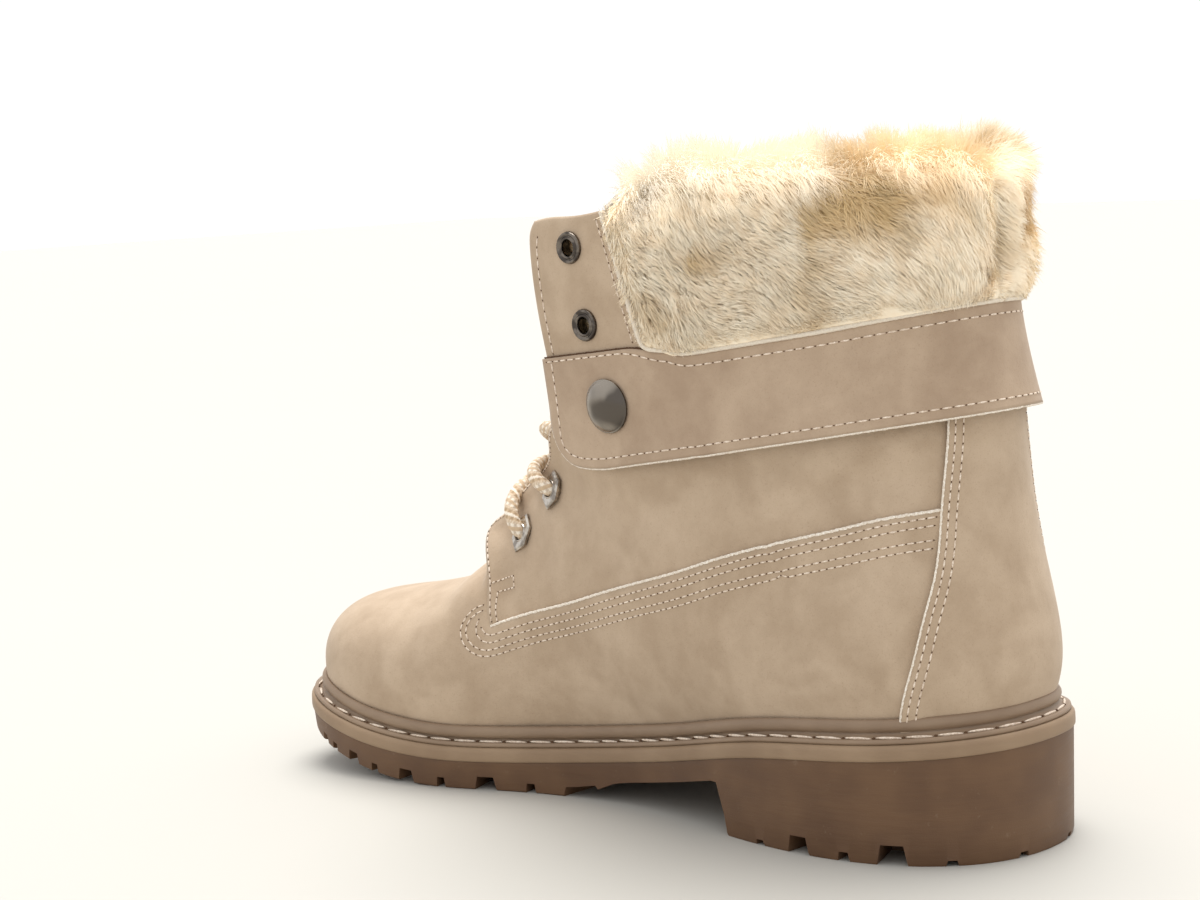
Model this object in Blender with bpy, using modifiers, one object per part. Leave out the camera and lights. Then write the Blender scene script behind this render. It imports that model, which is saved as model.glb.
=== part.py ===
"""One right lace-up ankle boot with a turned-down fur cuff and a lug sole.

Every size is in millimetres until a mesh is made. "Along" runs from the back of the heel to the
toe, "across" is plus on the inner side of the foot, and "up" is the height over the floor. The last,
which is the form that the upper is pulled over, comes first, and every other piece is worked out
from it. The origin is on the floor under the middle of the heel.
"""
import math

import bmesh
import bpy
import numpy as np
from mathutils import Matrix, Vector
from mathutils.bvhtree import BVHTree

MM = 0.001
HEEL_CENTRE = 42.0          # the origin's distance from the back of the heel
GAP = 0.35                  # left between pieces that meet

SOLE_LENGTH = 272.0
WALL = 2.2                  # leather and lining of the upper
WELT_REACH = 7.9            # from the foot of the upper out to the edge of the sole
WELT_SEAT = 0.75            # from the upper to the welt round it
MIDSOLE_THICK = 4.2
INSOLE_THICK = 4.0

TOE_SPRING = 16.4           # rise of the tread at the tip of the toe
SPRING_START = 198.0
BREAST = 84.0               # front of the heel block, at the floor
TREAD_START = 152.0         # back of the forefoot tread
WAIST_THICK = 6.5           # outsole under the arch

TONGUE_THICK = 4.0
CUFF_THICK = 2.6
FUR_OUT = 8.0               # depth of the fur outside the shaft
FUR_IN = 7.0                # and inside it
FUR_SEAT = 0.6              # from the fur to the wall it is on
FUR_TOP = 193.0

# The last, as flat cuts that turn like a fan from the toe, about the instep, to the collar.
# front: the ridge of the vamp, then the front of the shaft. low: under the sole, then the back.
LAST_COLUMNS = ("front_along", "front_up", "low_along", "low_up", "low_across", "front_across",
                "inner", "outer", "widest", "low_round", "front_round")
LAST = (
    (269.0, 36.5, 269.0, 36.5, 8.0, 8.0, 0.0, 0.0, 0.45, 2.4, 2.2),
    (267.0, 43.0, 267.0, 29.0, 7.5, 7.8, 11.5, 11.5, 0.45, 2.4, 2.2),
    (261.5, 48.8, 261.5, 18.0, 6.5, 7.5, 21.5, 21.5, 0.46, 2.5, 2.2),
    (252.0, 53.3, 252.0, 9.5, 4.0, 7.0, 30.0, 30.0, 0.46, 2.5, 2.2),
    (236.0, 56.6, 236.0, 5.5, 0.5, 6.0, 37.5, 38.5, 0.44, 2.5, 2.1),
    (219.0, 59.5, 218.0, 3.5, -2.5, 4.5, 41.5, 43.5, 0.42, 2.5, 2.1),
    (206.5, 63.5, 200.0, 3.0, -4.5, 3.5, 42.5, 46.5, 0.41, 2.5, 2.1),
    (201.0, 69.0, 183.0, 3.0, -6.0, 2.5, 41.0, 45.5, 0.42, 2.4, 2.1),
    (196.8, 79.0, 155.0, 3.0, -7.5, 2.0, 36.5, 42.0, 0.43, 2.2, 2.1),
    (190.5, 88.3, 113.0, 5.0, -7.0, 1.5, 34.0, 38.0, 0.42, 2.1, 2.1),
    (184.5, 94.8, 60.0, 9.0, -2.0, 1.5, 36.5, 37.0, 0.38, 2.1, 2.1),
    (180.5, 98.6, 20.0, 18.0, 2.0, 1.5, 38.5, 38.0, 0.32, 2.2, 2.1),
    (178.2, 101.2, 6.9, 35.6, 2.4, 1.5, 38.5, 38.0, 0.28, 2.3, 2.1),
    (176.5, 103.4, 3.3, 51.0, 2.2, 1.5, 37.8, 37.5, 0.30, 2.3, 2.15),
    (175.0, 106.0, 5.2, 71.0, 1.8, 1.2, 36.6, 36.6, 0.36, 2.25, 2.3),
    (173.3, 109.5, 8.8, 92.0, 1.4, 1.0, 36.2, 36.2, 0.43, 2.2, 2.6),
    (171.3, 117.0, 12.2, 114.0, 1.0, 1.0, 36.6, 36.6, 0.49, 2.2, 3.0),
    (169.5, 131.0, 14.2, 139.0, 1.0, 1.0, 37.5, 37.5, 0.53, 2.25, 3.5),
    (168.5, 151.0, 15.8, 163.0, 1.0, 1.0, 38.4, 38.4, 0.55, 2.3, 4.0),
    (169.0, 176.5, 17.0, 184.0, 1.0, 1.0, 39.0, 39.0, 0.55, 2.3, 4.2),
)
TOP = len(LAST) - 1.0

# Height of the ledge that the upper stands on: the upper face of the midsole.
LEDGE = ((0.0, 35.3), (33.0, 32.8), (73.0, 29.1), (109.0, 21.9), (147.0, 16.0),
         (185.0, 13.4), (228.0, 15.8), (272.0, 25.2))


def spline(places, values):
    """A natural cubic through the rows of a table."""
    x = np.asarray(places, float)
    y = np.asarray(values, float)
    h = np.diff(x)
    n = len(x)
    system = np.eye(n)
    right = np.zeros(n)
    for i in range(1, n - 1):
        system[i, i - 1:i + 2] = h[i - 1], 2 * (h[i - 1] + h[i]), h[i]
        right[i] = 6 * ((y[i + 1] - y[i]) / h[i] - (y[i] - y[i - 1]) / h[i - 1])
    bend = np.linalg.solve(system, right)

    def value(at):
        i = int(min(max(np.searchsorted(x, at) - 1, 0), n - 2))
        a = x[i + 1] - at
        b = at - x[i]
        return ((bend[i] * a ** 3 + bend[i + 1] * b ** 3) / (6 * h[i])
                + (y[i] / h[i] - bend[i] * h[i] / 6) * a
                + (y[i + 1] / h[i] - bend[i + 1] * h[i] / 6) * b)
    return value


def last_splines():
    """One spline a column; the row before the toe mirrors the row after it, so the tip is round."""
    rows = [dict(zip(LAST_COLUMNS, row)) for row in LAST]
    mirrored = dict(rows[1])
    mirrored["front_up"], mirrored["low_up"] = rows[1]["low_up"], rows[1]["front_up"]
    mirrored["inner"], mirrored["outer"] = -rows[1]["inner"], -rows[1]["outer"]
    rows.insert(0, mirrored)
    stations = np.arange(len(rows)) - 1.0
    return {name: spline(stations, [row[name] for row in rows]) for name in LAST_COLUMNS}


COLUMN = last_splines()
ledge = spline(*zip(*LEDGE))


def last_point(station, turn):
    """A point of the last. turn is 0 at the low end of a cut, pi at its front, minus on the outer side."""
    c = {name: value(station) for name, value in COLUMN.items()}
    cosine, sine = math.cos(turn), math.sin(turn)
    if cosine > 0:
        part, span, power = -1, c["widest"], 2 / c["low_round"]
    else:
        part, span, power = 1, 1 - c["widest"], 2 / c["front_round"]
    t = c["widest"] + part * span * abs(cosine) ** power
    half = c["inner"] if sine > 0 else -c["outer"]
    across = c["low_across"] + (c["front_across"] - c["low_across"]) * t + half * abs(sine) ** power
    return Vector((c["low_along"] + (c["front_along"] - c["low_along"]) * t, across,
                   c["low_up"] + (c["front_up"] - c["low_up"]) * t))


def skin(station, turn, out=0.0):
    """A point at a distance out from the last, square to it."""
    point = last_point(station, turn)
    if out == 0.0:
        return point
    step = 0.02
    up = last_point(min(station + step, TOP), turn) - last_point(max(station - step, 0.02), turn)
    around = last_point(station, turn + step) - last_point(station, turn - step)
    normal = around.cross(up).normalized()
    middle = last_point(station, 0.0).lerp(last_point(station, math.pi), COLUMN["widest"](station))
    if normal.dot(point - middle) < 0:
        normal.negate()
    return point + float(out) * normal


def solve(function, low, high, steps=30):
    """Where a rising function crosses zero, by halving."""
    for _ in range(steps):
        middle = (low + high) / 2
        if function(middle) < 0:
            low = middle
        else:
            high = middle
    return (low + high) / 2


def over_ledge(point):
    return point.z - ledge(point.x)


def foot_turn(station, side):
    """The turn at which a cut of the last meets the ledge: 0 where the cut is wholly above it."""
    if over_ledge(last_point(station, 0.0)) > GAP:
        return 0.0
    return side * solve(lambda turn: over_ledge(last_point(station, side * turn)) - GAP, 0.0, math.pi / 2)


def station_at(turn, up, low=10.0):
    """The station where a line of one turn reaches a height, on the shaft."""
    return solve(lambda station: last_point(station, turn).z - up, low, TOP)


def to_metres(point):
    return Vector(((point[0] - HEEL_CENTRE) * MM, point[1] * MM, point[2] * MM))


# --- meshes, objects and materials -------------------------------------------------------------

def start_scene():
    for thing in list(bpy.data.objects):
        bpy.data.objects.remove(thing, do_unlink=True)
    for name in ("ankle_boot", "cutters"):
        bpy.context.scene.collection.children.link(bpy.data.collections.new(name))


def material(name, colour, roughness, metallic=0.0):
    made = bpy.data.materials.new(name)
    made.use_nodes = True
    shader = made.node_tree.nodes["Principled BSDF"]
    shader.inputs["Base Color"].default_value = (*colour, 1.0)
    shader.inputs["Roughness"].default_value = roughness
    shader.inputs["Metallic"].default_value = metallic
    return made


def make_materials():
    return {
        "nubuck": material("nubuck", (0.50, 0.37, 0.27), 0.75),
        "brown_rubber": material("brown_rubber", (0.14, 0.085, 0.05), 0.6),
        "midsole_rubber": material("midsole_rubber", (0.33, 0.25, 0.17), 0.6),
        "welt_rubber": material("welt_rubber", (0.24, 0.175, 0.125), 0.6),
        "lining": material("lining", (0.6, 0.5, 0.38), 0.9),
        "fur": material("fur", (0.78, 0.68, 0.5), 0.9),
        "gunmetal": material("gunmetal", (0.12, 0.12, 0.12), 0.25, 1.0),
        "lace_cord": material("lace_cord", (0.72, 0.62, 0.48), 0.85),
    }


def add_object(name, mesh, finish=None, collection="ankle_boot"):
    thing = bpy.data.objects.new(name, mesh)
    bpy.data.collections[collection].objects.link(thing)
    if finish:
        mesh.materials.append(finish)
        mesh.shade_smooth()
        mesh.set_sharp_from_angle(angle=math.radians(40))
    if collection == "cutters":
        thing.hide_render = True
        thing.display_type = "WIRE"
    return thing


def mesh_from(bm, name):
    """The bmesh as a mesh, its doubles merged and its faces pointing out."""
    bmesh.ops.remove_doubles(bm, verts=bm.verts, dist=0.02 * MM)
    bmesh.ops.dissolve_degenerate(bm, dist=0.02 * MM, edges=bm.edges)
    bmesh.ops.recalc_face_normals(bm, faces=bm.faces)
    mesh = bpy.data.meshes.new(name)
    bm.to_mesh(mesh)
    bm.free()
    return mesh


def bridge(bm, rows, closed=False):
    """Quads between rows of points that have the same count."""
    verts = [[bm.verts.new(to_metres(point)) for point in row] for row in rows]
    for near, far in zip(verts, verts[1:]):
        pairs = list(zip(near, far))
        if closed:
            pairs.append(pairs[0])
        for (a, b), (c, d) in zip(pairs, pairs[1:]):
            bm.faces.new((a, b, d, c))
    return verts


def solidify(thing, thickness):
    """A wall inward from an open surface."""
    wall = thing.modifiers.new("wall", "SOLIDIFY")
    wall.thickness = thickness * MM
    wall.offset = -1.0
    wall.use_even_offset = True


def cut(thing, cutter, operation="DIFFERENCE"):
    boolean = thing.modifiers.new("cut", "BOOLEAN")
    boolean.operation = operation
    boolean.solver = "EXACT"
    if isinstance(cutter, bpy.types.Collection):
        boolean.operand_type = "COLLECTION"
        boolean.collection = cutter
    else:
        boolean.object = cutter


# --- the sole's outline ------------------------------------------------------------------------

HEEL_PIVOT = 46.0           # the outline is felt from a line between these two places
TOE_PIVOT = 226.0
END_STEPS = 8
SIDE_STEPS = 13


def felt_last():
    """The last as a form to feel with rays, with its ledge bent flat, so that outlines lie level."""
    bm = bmesh.new()
    stations = np.concatenate((np.linspace(0.0, 4.0, 25), np.linspace(4.2, TOP, 60)))
    rows = []
    for station in stations:
        row = [last_point(station, turn) for turn in np.linspace(-math.pi, math.pi, 73)]
        rows.append([Vector((p.x, p.y, over_ledge(p))) for p in row])
    verts = [[bm.verts.new(point) for point in row] for row in rows]
    for near, far in zip(verts, verts[1:]):
        for a, b, c, d in zip(near, near[1:], far[1:], far):
            bm.faces.new((a, b, c, d))
    bm.normal_update()
    tree = BVHTree.FromBMesh(bm)
    bm.free()
    return tree


def feelers():
    """Pairs of inner and outer rays, from the back of the heel round to the tip of the toe."""
    rays = []
    for i in range(END_STEPS):
        angle = math.pi - (i / END_STEPS) * math.pi / 2
        rays.append((HEEL_PIVOT, 2.0, angle))
    for i in range(SIDE_STEPS):
        share = i / SIDE_STEPS
        rays.append((HEEL_PIVOT + share * (TOE_PIVOT - HEEL_PIVOT), 2.0 - 2.0 * share, math.pi / 2))
    for i in range(END_STEPS + 1):
        angle = math.pi / 2 * (1 - i / END_STEPS)
        rays.append((TOE_PIVOT, 5.0 * i / END_STEPS, angle))
    return rays


def foot_loop(tree, level):
    """The last's outline at a height over the ledge, as one loop: heel, inner side, toe, outer side."""
    reach = 150.0

    def feel(along, across, angle, side):
        way = Vector((math.cos(angle), side * math.sin(angle), 0.0))
        start = Vector((along, across, level)) + reach * way
        hit = tree.ray_cast(start, -way)[0]
        return Vector((hit.x, hit.y, 0.0))
    rays = feelers()
    inner = [feel(*ray, 1) for ray in rays]
    outer = [feel(*ray, -1) for ray in rays[1:-1]]
    return inner + outer[::-1]


def spread(loop, out):
    """The loop moved outward in plan."""
    moved = []
    for before, point, after in zip(loop[-1:] + loop[:-1], loop, loop[1:] + loop[:1]):
        way = (after - before).normalized()
        moved.append(point + out * Vector((-way.y, way.x, 0.0)))
    return moved


def smooth(loop, rounds=2):
    for _ in range(rounds):
        loop = [(before + 2 * point + after) / 4
                for before, point, after in zip(loop[-1:] + loop[:-1], loop, loop[1:] + loop[:1])]
    return loop


def over(loop, level):
    """The loop laid at a height over the ledge."""
    return [Vector((p.x, p.y, ledge(p.x) + level)) for p in loop]


def ground(along):
    """Height of the tread's underside, with the toe spring."""
    share = max(0.0, along - SPRING_START) / (SOLE_LENGTH - SPRING_START)
    return TOE_SPRING * share ** 2


def plate(name, loops, finish, collection="ankle_boot"):
    """A closed body through loops from bottom to top; its ends are strips across."""
    bm = bmesh.new()
    verts = bridge(bm, loops, closed=True)
    count = len(loops[0])
    for row in (verts[0], verts[-1]):
        for i in range(1, count // 2):
            a, b = row[i], row[(i + 1) % count]
            c, d = row[count - i - 1], row[count - i]
            bm.faces.new((a, b, c, d) if b is not c else (a, b, d))
        bm.faces.new((row[0], row[1], row[count - 1]))
    return add_object(name, mesh_from(bm, name), finish, collection)


# --- sole pieces -------------------------------------------------------------------------------

INNER_NOTCHES = ((159.0, 2.5, 2.0), (174.0, 5.5, 3.4), (187.0, 2.5, 2.0), (200.0, 5.5, 3.4),
                 (212.0, 2.5, 2.0), (223.0, 4.5, 3.2), (233.0, 2.5, 2.0), (242.5, 4.0, 3.0))
HEEL_NOTCHES = ((72.0, 2.5, 2.0), (58.0, 5.5, 3.4), (44.0, 2.5, 2.0), (29.0, 5.0, 3.4))
NOTCH_LONG = 17.5           # each runs this far in from a little outside the edge
NOTCH_OUTSIDE = 2.0
END_NOTCH_ANGLES = (-50, -18, 18, 50)
END_NOTCH = (4.0, 3.2)      # width and depth
END_PIVOTS = (("heel", 38.0, 32.0, -1), ("toe", 218.0, 44.0, 1))    # place along, reach and way
GROOVE_WIDE = 3.4
GROOVE_DEEP = 3.0
CROSS_LONG = 27.0
HEEL_GROOVE_LONG = 46.0
GROOVE_ANGLE = math.radians(18)
NARROWING = 0.3             # of a groove's width, from the floor to its bottom
CROSS_GROOVES = (172.0, 188.0, 204.0, 220.0, 236.0)
HEEL_GROOVES = (26.0, 58.0)


def cut_box(name, wide, long, deep, place, turn):
    """A groove's cutter: a box that narrows upward, on the bent ground."""
    bm = bmesh.new()
    bmesh.ops.create_cube(bm, size=1.0)
    for vert in bm.verts:
        if vert.co.z > 0:
            vert.co.x *= 1 - NARROWING
        vert.co = Vector((vert.co.x * wide, vert.co.y * long, vert.co.z * 2 * deep))
    bmesh.ops.rotate(bm, verts=bm.verts, matrix=Matrix.Rotation(turn, 3, "Z"))
    for vert in bm.verts:
        spot = vert.co + place
        vert.co = to_metres(Vector((spot.x, spot.y, spot.z + ground(spot.x))))
    return add_object(name, mesh_from(bm, name), collection="cutters")


def nearest(loop, along, side):
    """The loop's place and outward way beside a place along the shoe, on one side."""
    half = len(loop) // 2
    share = range(1, half) if side > 0 else range(half + 1, len(loop) - 1)
    i = min(share, key=lambda k: abs(loop[k].x - along))
    way = (loop[i + 1] - loop[i - 1]).normalized()
    step = (along - loop[i].x) / way.x
    return loop[i] + step * way, Vector((-way.y, way.x, 0.0))


def tread_cutters(edge):
    """Notches round the edge, chevrons under the ball and two straight grooves in the heel."""
    made = bpy.data.collections.new("tread_cutters")
    bpy.data.collections["cutters"].children.link(made)
    boxes = []
    rows = [(notch, side) for side in (1, -1) for notch in INNER_NOTCHES + HEEL_NOTCHES]
    for number, ((along, wide, deep), side) in enumerate(rows):
        spot, way = nearest(edge, along, side)
        middle = spot - way * (NOTCH_LONG / 2 - NOTCH_OUTSIDE)
        turn = math.atan2(way.y, way.x) - math.pi / 2
        boxes.append(cut_box(f"notch_{number}", wide, NOTCH_LONG, deep, middle, turn))
    for number, angle in enumerate(END_NOTCH_ANGLES):
        for name, pivot, reach, sign in END_PIVOTS:
            way = Vector((sign * math.cos(math.radians(angle)), math.sin(math.radians(angle)), 0.0))
            middle = Vector((pivot, 2.0, 0.0)) + way * reach
            turn = math.atan2(way.y, way.x) - math.pi / 2
            wide, deep = END_NOTCH
            boxes.append(cut_box(f"{name}_end_notch_{number}", wide, NOTCH_LONG, deep, middle, turn))
    for number, along in enumerate(CROSS_GROOVES):
        for side in (1, -1):
            middle = Vector((along - 2.5, side * 10.0 - 2.0, 0.0))
            boxes.append(cut_box(f"cross_groove_{number}_{side + 1}", GROOVE_WIDE, CROSS_LONG, GROOVE_DEEP,
                                 middle, -side * GROOVE_ANGLE))
    for number, along in enumerate(HEEL_GROOVES):
        boxes.append(cut_box(f"heel_groove_{number}", GROOVE_WIDE, HEEL_GROOVE_LONG, GROOVE_DEEP,
                             Vector((along, 2.0, 0.0)), 0.0))
    for thing in boxes:
        bpy.data.collections["cutters"].objects.unlink(thing)
        made.objects.link(thing)
    return made


def arch_cutter():
    """The hollow between heel and forefoot, as a side outline drawn right across the sole."""
    bm = bmesh.new()
    steps = 14
    lower = [(TREAD_START, -2.0), (BREAST, -2.0), (BREAST + 1.5, 6.0), (BREAST + 4.5, 15.0)]
    roof = []
    start, end = BREAST + 7.0, TREAD_START + 7.0
    for i in range(steps + 1):
        along = start + (end - start) * i / steps
        sink = max(0.0, (along - 128.0) / (end - 128.0))
        height = ledge(along) - MIDSOLE_THICK - WAIST_THICK
        roof.append((along, max(height * (1 - sink ** 2), -2.0)))
    rows = []
    for across in (-80.0, 80.0):
        rows.append([Vector((a, across, z)) for a, z in lower + roof])
    verts = bridge(bm, rows, closed=True)
    for row in verts:
        bm.faces.new(row)
    return add_object("arch_cutter", mesh_from(bm, "arch_cutter"), collection="cutters")


def make_sole(finishes):
    tree = felt_last()
    foot = smooth(foot_loop(tree, GAP))
    edge = spread(foot, WELT_REACH)
    bottom = spread(foot, WELT_REACH - 1.2)
    outsole = plate("outsole", [
        [Vector((p.x, p.y, ground(p.x))) for p in bottom],
        over(spread(foot, WELT_REACH - 0.5), -MIDSOLE_THICK - GAP)], finishes["brown_rubber"])
    cut(outsole, arch_cutter())
    cut(outsole, tread_cutters(bottom))
    plate("midsole", [over(spread(foot, WELT_REACH - 0.5), -MIDSOLE_THICK),
                      over(edge, -MIDSOLE_THICK + 0.9), over(edge, -0.7),
                      over(spread(foot, WELT_REACH - 0.6), 0.0)], finishes["midsole_rubber"])
    rest = spread(foot, -WALL - 2.5 * GAP)
    plate("insole", [over(rest, GAP), over(rest, GAP + INSOLE_THICK)], finishes["lining"])
    make_welt(tree, foot, finishes["welt_rubber"])


def make_welt(tree, foot, finish):
    """The strip stitched round the upper: a lip, a stitched valley and a round bead."""
    bm = bmesh.new()
    low, middle, high = (foot_loop(tree, level) for level in (GAP, 3.0, 6.2))
    loops = [
        over(spread(low, WELT_SEAT), GAP),
        over(spread(foot, WELT_REACH - 1.2), GAP),
        over(spread(foot, WELT_REACH - 1.2), 1.0),
        over(spread(foot, WELT_REACH - 2.8), 2.3),
        over(spread(high, WELT_SEAT + 1.7), 4.0),
        over(spread(high, WELT_SEAT + 1.2), 6.4),
        over(spread(high, WELT_SEAT), 6.2),
        over(spread(middle, WELT_SEAT), 3.0),
    ]
    bridge(bm, loops + loops[:1], closed=True)
    add_object("welt", mesh_from(bm, "welt"), finish)


# --- upper and tongue --------------------------------------------------------------------------

THROAT_START = 6.7
# Half the width of the throat between the facings, by station.
THROAT = ((6.7, 0.0), (7.1, 8.0), (8.0, 12.0), (9.5, 15.0), (11.0, 18.0), (13.0, 21.0), (15.0, 24.5),
          (16.0, 28.5), (17.0, 33.0), (18.0, 35.3), (19.0, 36.2))
UPPER_COLUMNS = 11


def side_turn(station, half, side):
    """The turn at which a cut, near its front, is a given distance from its middle."""
    wide = COLUMN["inner" if side > 0 else "outer"](station)
    power = COLUMN["front_round"](station) / 2
    return side * (math.pi - math.asin(min(1.0, half / wide) ** power))


def throat_turn(station, side):
    if station <= THROAT_START:
        return side * math.pi
    half = np.interp(station, *zip(*THROAT))
    return side_turn(station, half, side)


def upper_stations():
    """Each row's station at its foot and at its front: about the heel only the feet crowd together."""
    toe = solve(lambda s: -over_ledge(last_point(s, 0.0)) + GAP, 0.2, 3.0)
    heel = solve(lambda s: over_ledge(last_point(s, 0.0)) - GAP, 9.0, 13.0)
    steps = [0.0, 0.3, 0.6, 0.9]
    steps += [toe + (2.0 - toe) * share ** 2 for share in (0.0, 0.35, 0.7)]
    steps += [2.0, 2.5, 3.0, 3.6, 4.2, 4.9, 5.6, 6.2, THROAT_START, 6.9, 7.1, 7.5, 8.0, 8.7]
    rows = [(step, step) for step in steps]
    start, crowded = steps[-1], 11
    for i in range(1, crowded + 1):
        share = i / crowded
        rows.append((heel - (heel - start) * (1 - share) ** 2, start + (heel - start) * share))
    rows += [(step, step) for step in np.linspace(heel, TOP, 13)[1:]]
    return rows


def skin_rows(side):
    """Rows of the last's skin from its foot to the front, or to the edge of the throat."""
    rows = []
    shares = np.linspace(0.0, 1.0, UPPER_COLUMNS + 1)
    for foot, front in upper_stations():
        start, end = foot_turn(foot, side), throat_turn(front, side)
        rows.append([skin(foot + (front - foot) * share, start + (end - start) * share)
                     for share in shares])
    return rows


def make_upper(finish):
    bm = bmesh.new()
    for side in (1, -1):
        bridge(bm, skin_rows(side))
    upper = add_object("upper", mesh_from(bm, "upper"), finish)
    solidify(upper, WALL)
    cut(upper, eyelet_holes())


def make_tongue(finish):
    bm = bmesh.new()
    rows = []
    for station in np.linspace(5.9, TOP - 0.1, 19):
        half = np.interp(station, (5.9, 8.0, 15.0, 19.0), (14.0, 20.0, 23.0, 21.0))
        sink = np.interp(station, (5.9, 14.0, 19.0), (0.4, 0.6, 4.0))
        turns = [side_turn(station, half * share, side)
                 for side, shares in ((1, (1.0, 0.75, 0.5, 0.25)), (-1, (0.0, 0.25, 0.5, 0.75, 1.0)))
                 for share in shares]
        rows.append([skin(station, turn, -WALL - GAP - sink) for turn in turns])
    bridge(bm, rows)
    tongue = add_object("tongue", mesh_from(bm, "tongue"), finish)
    solidify(tongue, TONGUE_THICK)


# --- cuff --------------------------------------------------------------------------------------

CUFF_TOP = ((12.0, 150.0), (49.0, 143.3), (84.0, 138.2), (95.0, 136.8), (106.0, 139.6), (150.0, 135.0))
CUFF_LOW = ((12.0, 121.0), (50.0, 114.9), (86.0, 109.3), (123.0, 104.4), (132.0, 104.8), (138.0, 106.5),
            (142.0, 109.5), (144.5, 114.0))
CUFF_FRONT = 144.5          # front edge of the cuff
CUFF_OUT = 3.3              # its outer face over the last, along its upper edge
CUFF_FLARE = (1.0, 2.8)     # how much farther its lower edge stands out, at the front and at the back
FLAP_BACK = ((139.0, 107.0), (178.0, 119.0))    # behind the round eyelets, height and place along


def meet(turn, line):
    """The station where a line of one turn crosses a line drawn on the side of the shaft."""
    def gap(station):
        point = last_point(station, turn)
        return point.z - np.interp(point.x, *zip(*line))
    return solve(gap, 11.0, TOP)


def turn_at(along, up):
    """The turn at which the side of the shaft reaches a place along the shoe at one height."""
    return solve(lambda turn: last_point(station_at(turn, up), turn).x - along, 0.3, 2.9)


def make_cuff(finish):
    """The turned-down leather edge of the cuff, round the back from one front edge to the other."""
    bm = bmesh.new()
    front = turn_at(CUFF_FRONT, 125.0)
    shares = list(np.linspace(0.0, 0.84, 15)) + [0.88, 0.91, 0.94, 0.965, 0.985, 1.0]
    columns = [front * share for share in shares[::-1]] + [-front * share for share in shares[1:]]
    rows = []
    for turn in columns:
        low, high = meet(turn, CUFF_LOW), meet(turn, CUFF_TOP)
        flare = CUFF_FLARE[1] + (CUFF_FLARE[0] - CUFF_FLARE[1]) * abs(turn) / front
        rows.append([skin(low + (high - low) * share, turn, CUFF_OUT + flare * (1 - share) ** 1.5)
                     for share in (0.0, 0.35, 0.7, 1.0)])
    bridge(bm, rows)
    cuff = add_object("cuff_band", mesh_from(bm, "cuff_band"), finish)
    solidify(cuff, CUFF_THICK)


def at_height(turn, up, out):
    """A point beside the shaft at a height; over the rim the shaft goes straight up."""
    rim = last_point(TOP, turn).z
    if up >= rim:
        point = skin(TOP, turn, out)
        return Vector((point.x, point.y, up))
    return skin(station_at(turn, up), turn, out)


def make_fur(finish):
    """The deep fur, over the rim and down inside, from one flap round the back to the other."""
    bm = bmesh.new()
    low_front, high_front = (turn_at(along, up) for up, along in FLAP_BACK)
    rows = []
    for share in np.linspace(-1.0, 1.0, 29):
        soft = 0.55 + 0.45 * min(1.0, (1 - abs(share)) / 0.12) ** 0.5
        rim = last_point(TOP, share * high_front).z
        low = last_point(meet(share * low_front, CUFF_TOP), share * low_front).z + 2 * GAP
        out, deep = FUR_OUT * soft, FUR_IN * soft
        near, inside = FUR_SEAT, -WALL - FUR_SEAT
        section = ((near, low), (near + 3.8, low), (near + out * 0.9, low + 9), (near + out, (low + rim) / 2),
                   (near + out, rim - 2), (near + out * 0.55, FUR_TOP - 3), (-1.0, FUR_TOP),
                   (inside - deep * 0.6, FUR_TOP - 3), (inside - deep, rim - 3),
                   (inside - deep, rim - 22), (inside, rim - 30), (inside, rim + GAP), (near, rim + GAP))
        row = []
        for out_by, up in section:
            rise = (up - FLAP_BACK[0][0]) / (FLAP_BACK[1][0] - FLAP_BACK[0][0])
            turn = share * (low_front + (high_front - low_front) * min(1.0, max(0.0, rise)))
            row.append(at_height(turn, up, out_by))
        rows.append(row)
    verts = bridge(bm, rows)
    for near, far in zip(verts, verts[1:]):
        bm.faces.new((near[-1], near[0], far[0], far[-1]))
    for row in (verts[0], verts[-1]):
        bm.faces.new(row)
    add_object("fur_collar", mesh_from(bm, "fur_collar"), finish)


# --- hardware and lace -------------------------------------------------------------------------

SNAP_PLACE = (118.5, 122.3)
SNAP_FLARE = 0.45           # how far the cuff has flared out at the snap
ROUND_EYELETS = ((133.4, 167.7), (128.7, 145.3))
LACE_EYELETS = ((173.3, 79.6), (161.0, 93.4), (146.5, 110.0))
EYELET_HOLE = 2.4
PLATE_OUTLINE = ((0.0, 5.6), (3.9, 2.6), (3.9, -2.6), (0.0, -5.6), (-3.9, -2.6), (-3.9, 2.6))
PLATE_THICK = 1.2
LACE_THICK = 4.5


def locate(along, up, side):
    """The station and turn of the last at a place seen from its side."""
    def miss(place):
        point = last_point(place[0], side * place[1])
        return math.hypot(point.x - along, point.z - up)
    best, width = (13.0, 2.0), (6.0, 1.1)
    for _ in range(9):
        tries = [(best[0] + width[0] * i / 5, best[1] + width[1] * j / 5)
                 for i in range(-5, 6) for j in range(-5, 6)]
        tries = [(min(max(station, 5.0), TOP), min(max(turn, 0.1), 3.1)) for station, turn in tries]
        best = min(tries, key=miss)
        width = (width[0] / 2.5, width[1] / 2.5)
    return best[0], side * best[1]


def outward(station, turn):
    return (skin(station, turn, 1.0) - skin(station, turn)).normalized()


def upright(station, turn):
    """The way up the facing at a place on it."""
    return skin(min(station + 0.3, TOP), turn) - skin(station - 0.3, turn)


def seat_axes(place, up_way):
    """Three axes at a place on the last: z outward and y nearest to up_way."""
    z = outward(*place)
    x = up_way.cross(z).normalized()
    return x, z.cross(x), z


def seat(thing, place, out, up_way=Vector((0, 0, 1))):
    """Stand a piece on the last with its Z outward and its Y nearest to up_way."""
    turn = Matrix(seat_axes(place, up_way)).transposed().to_4x4()
    thing.matrix_world = Matrix.Translation(to_metres(skin(*place, out))) @ turn


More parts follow.
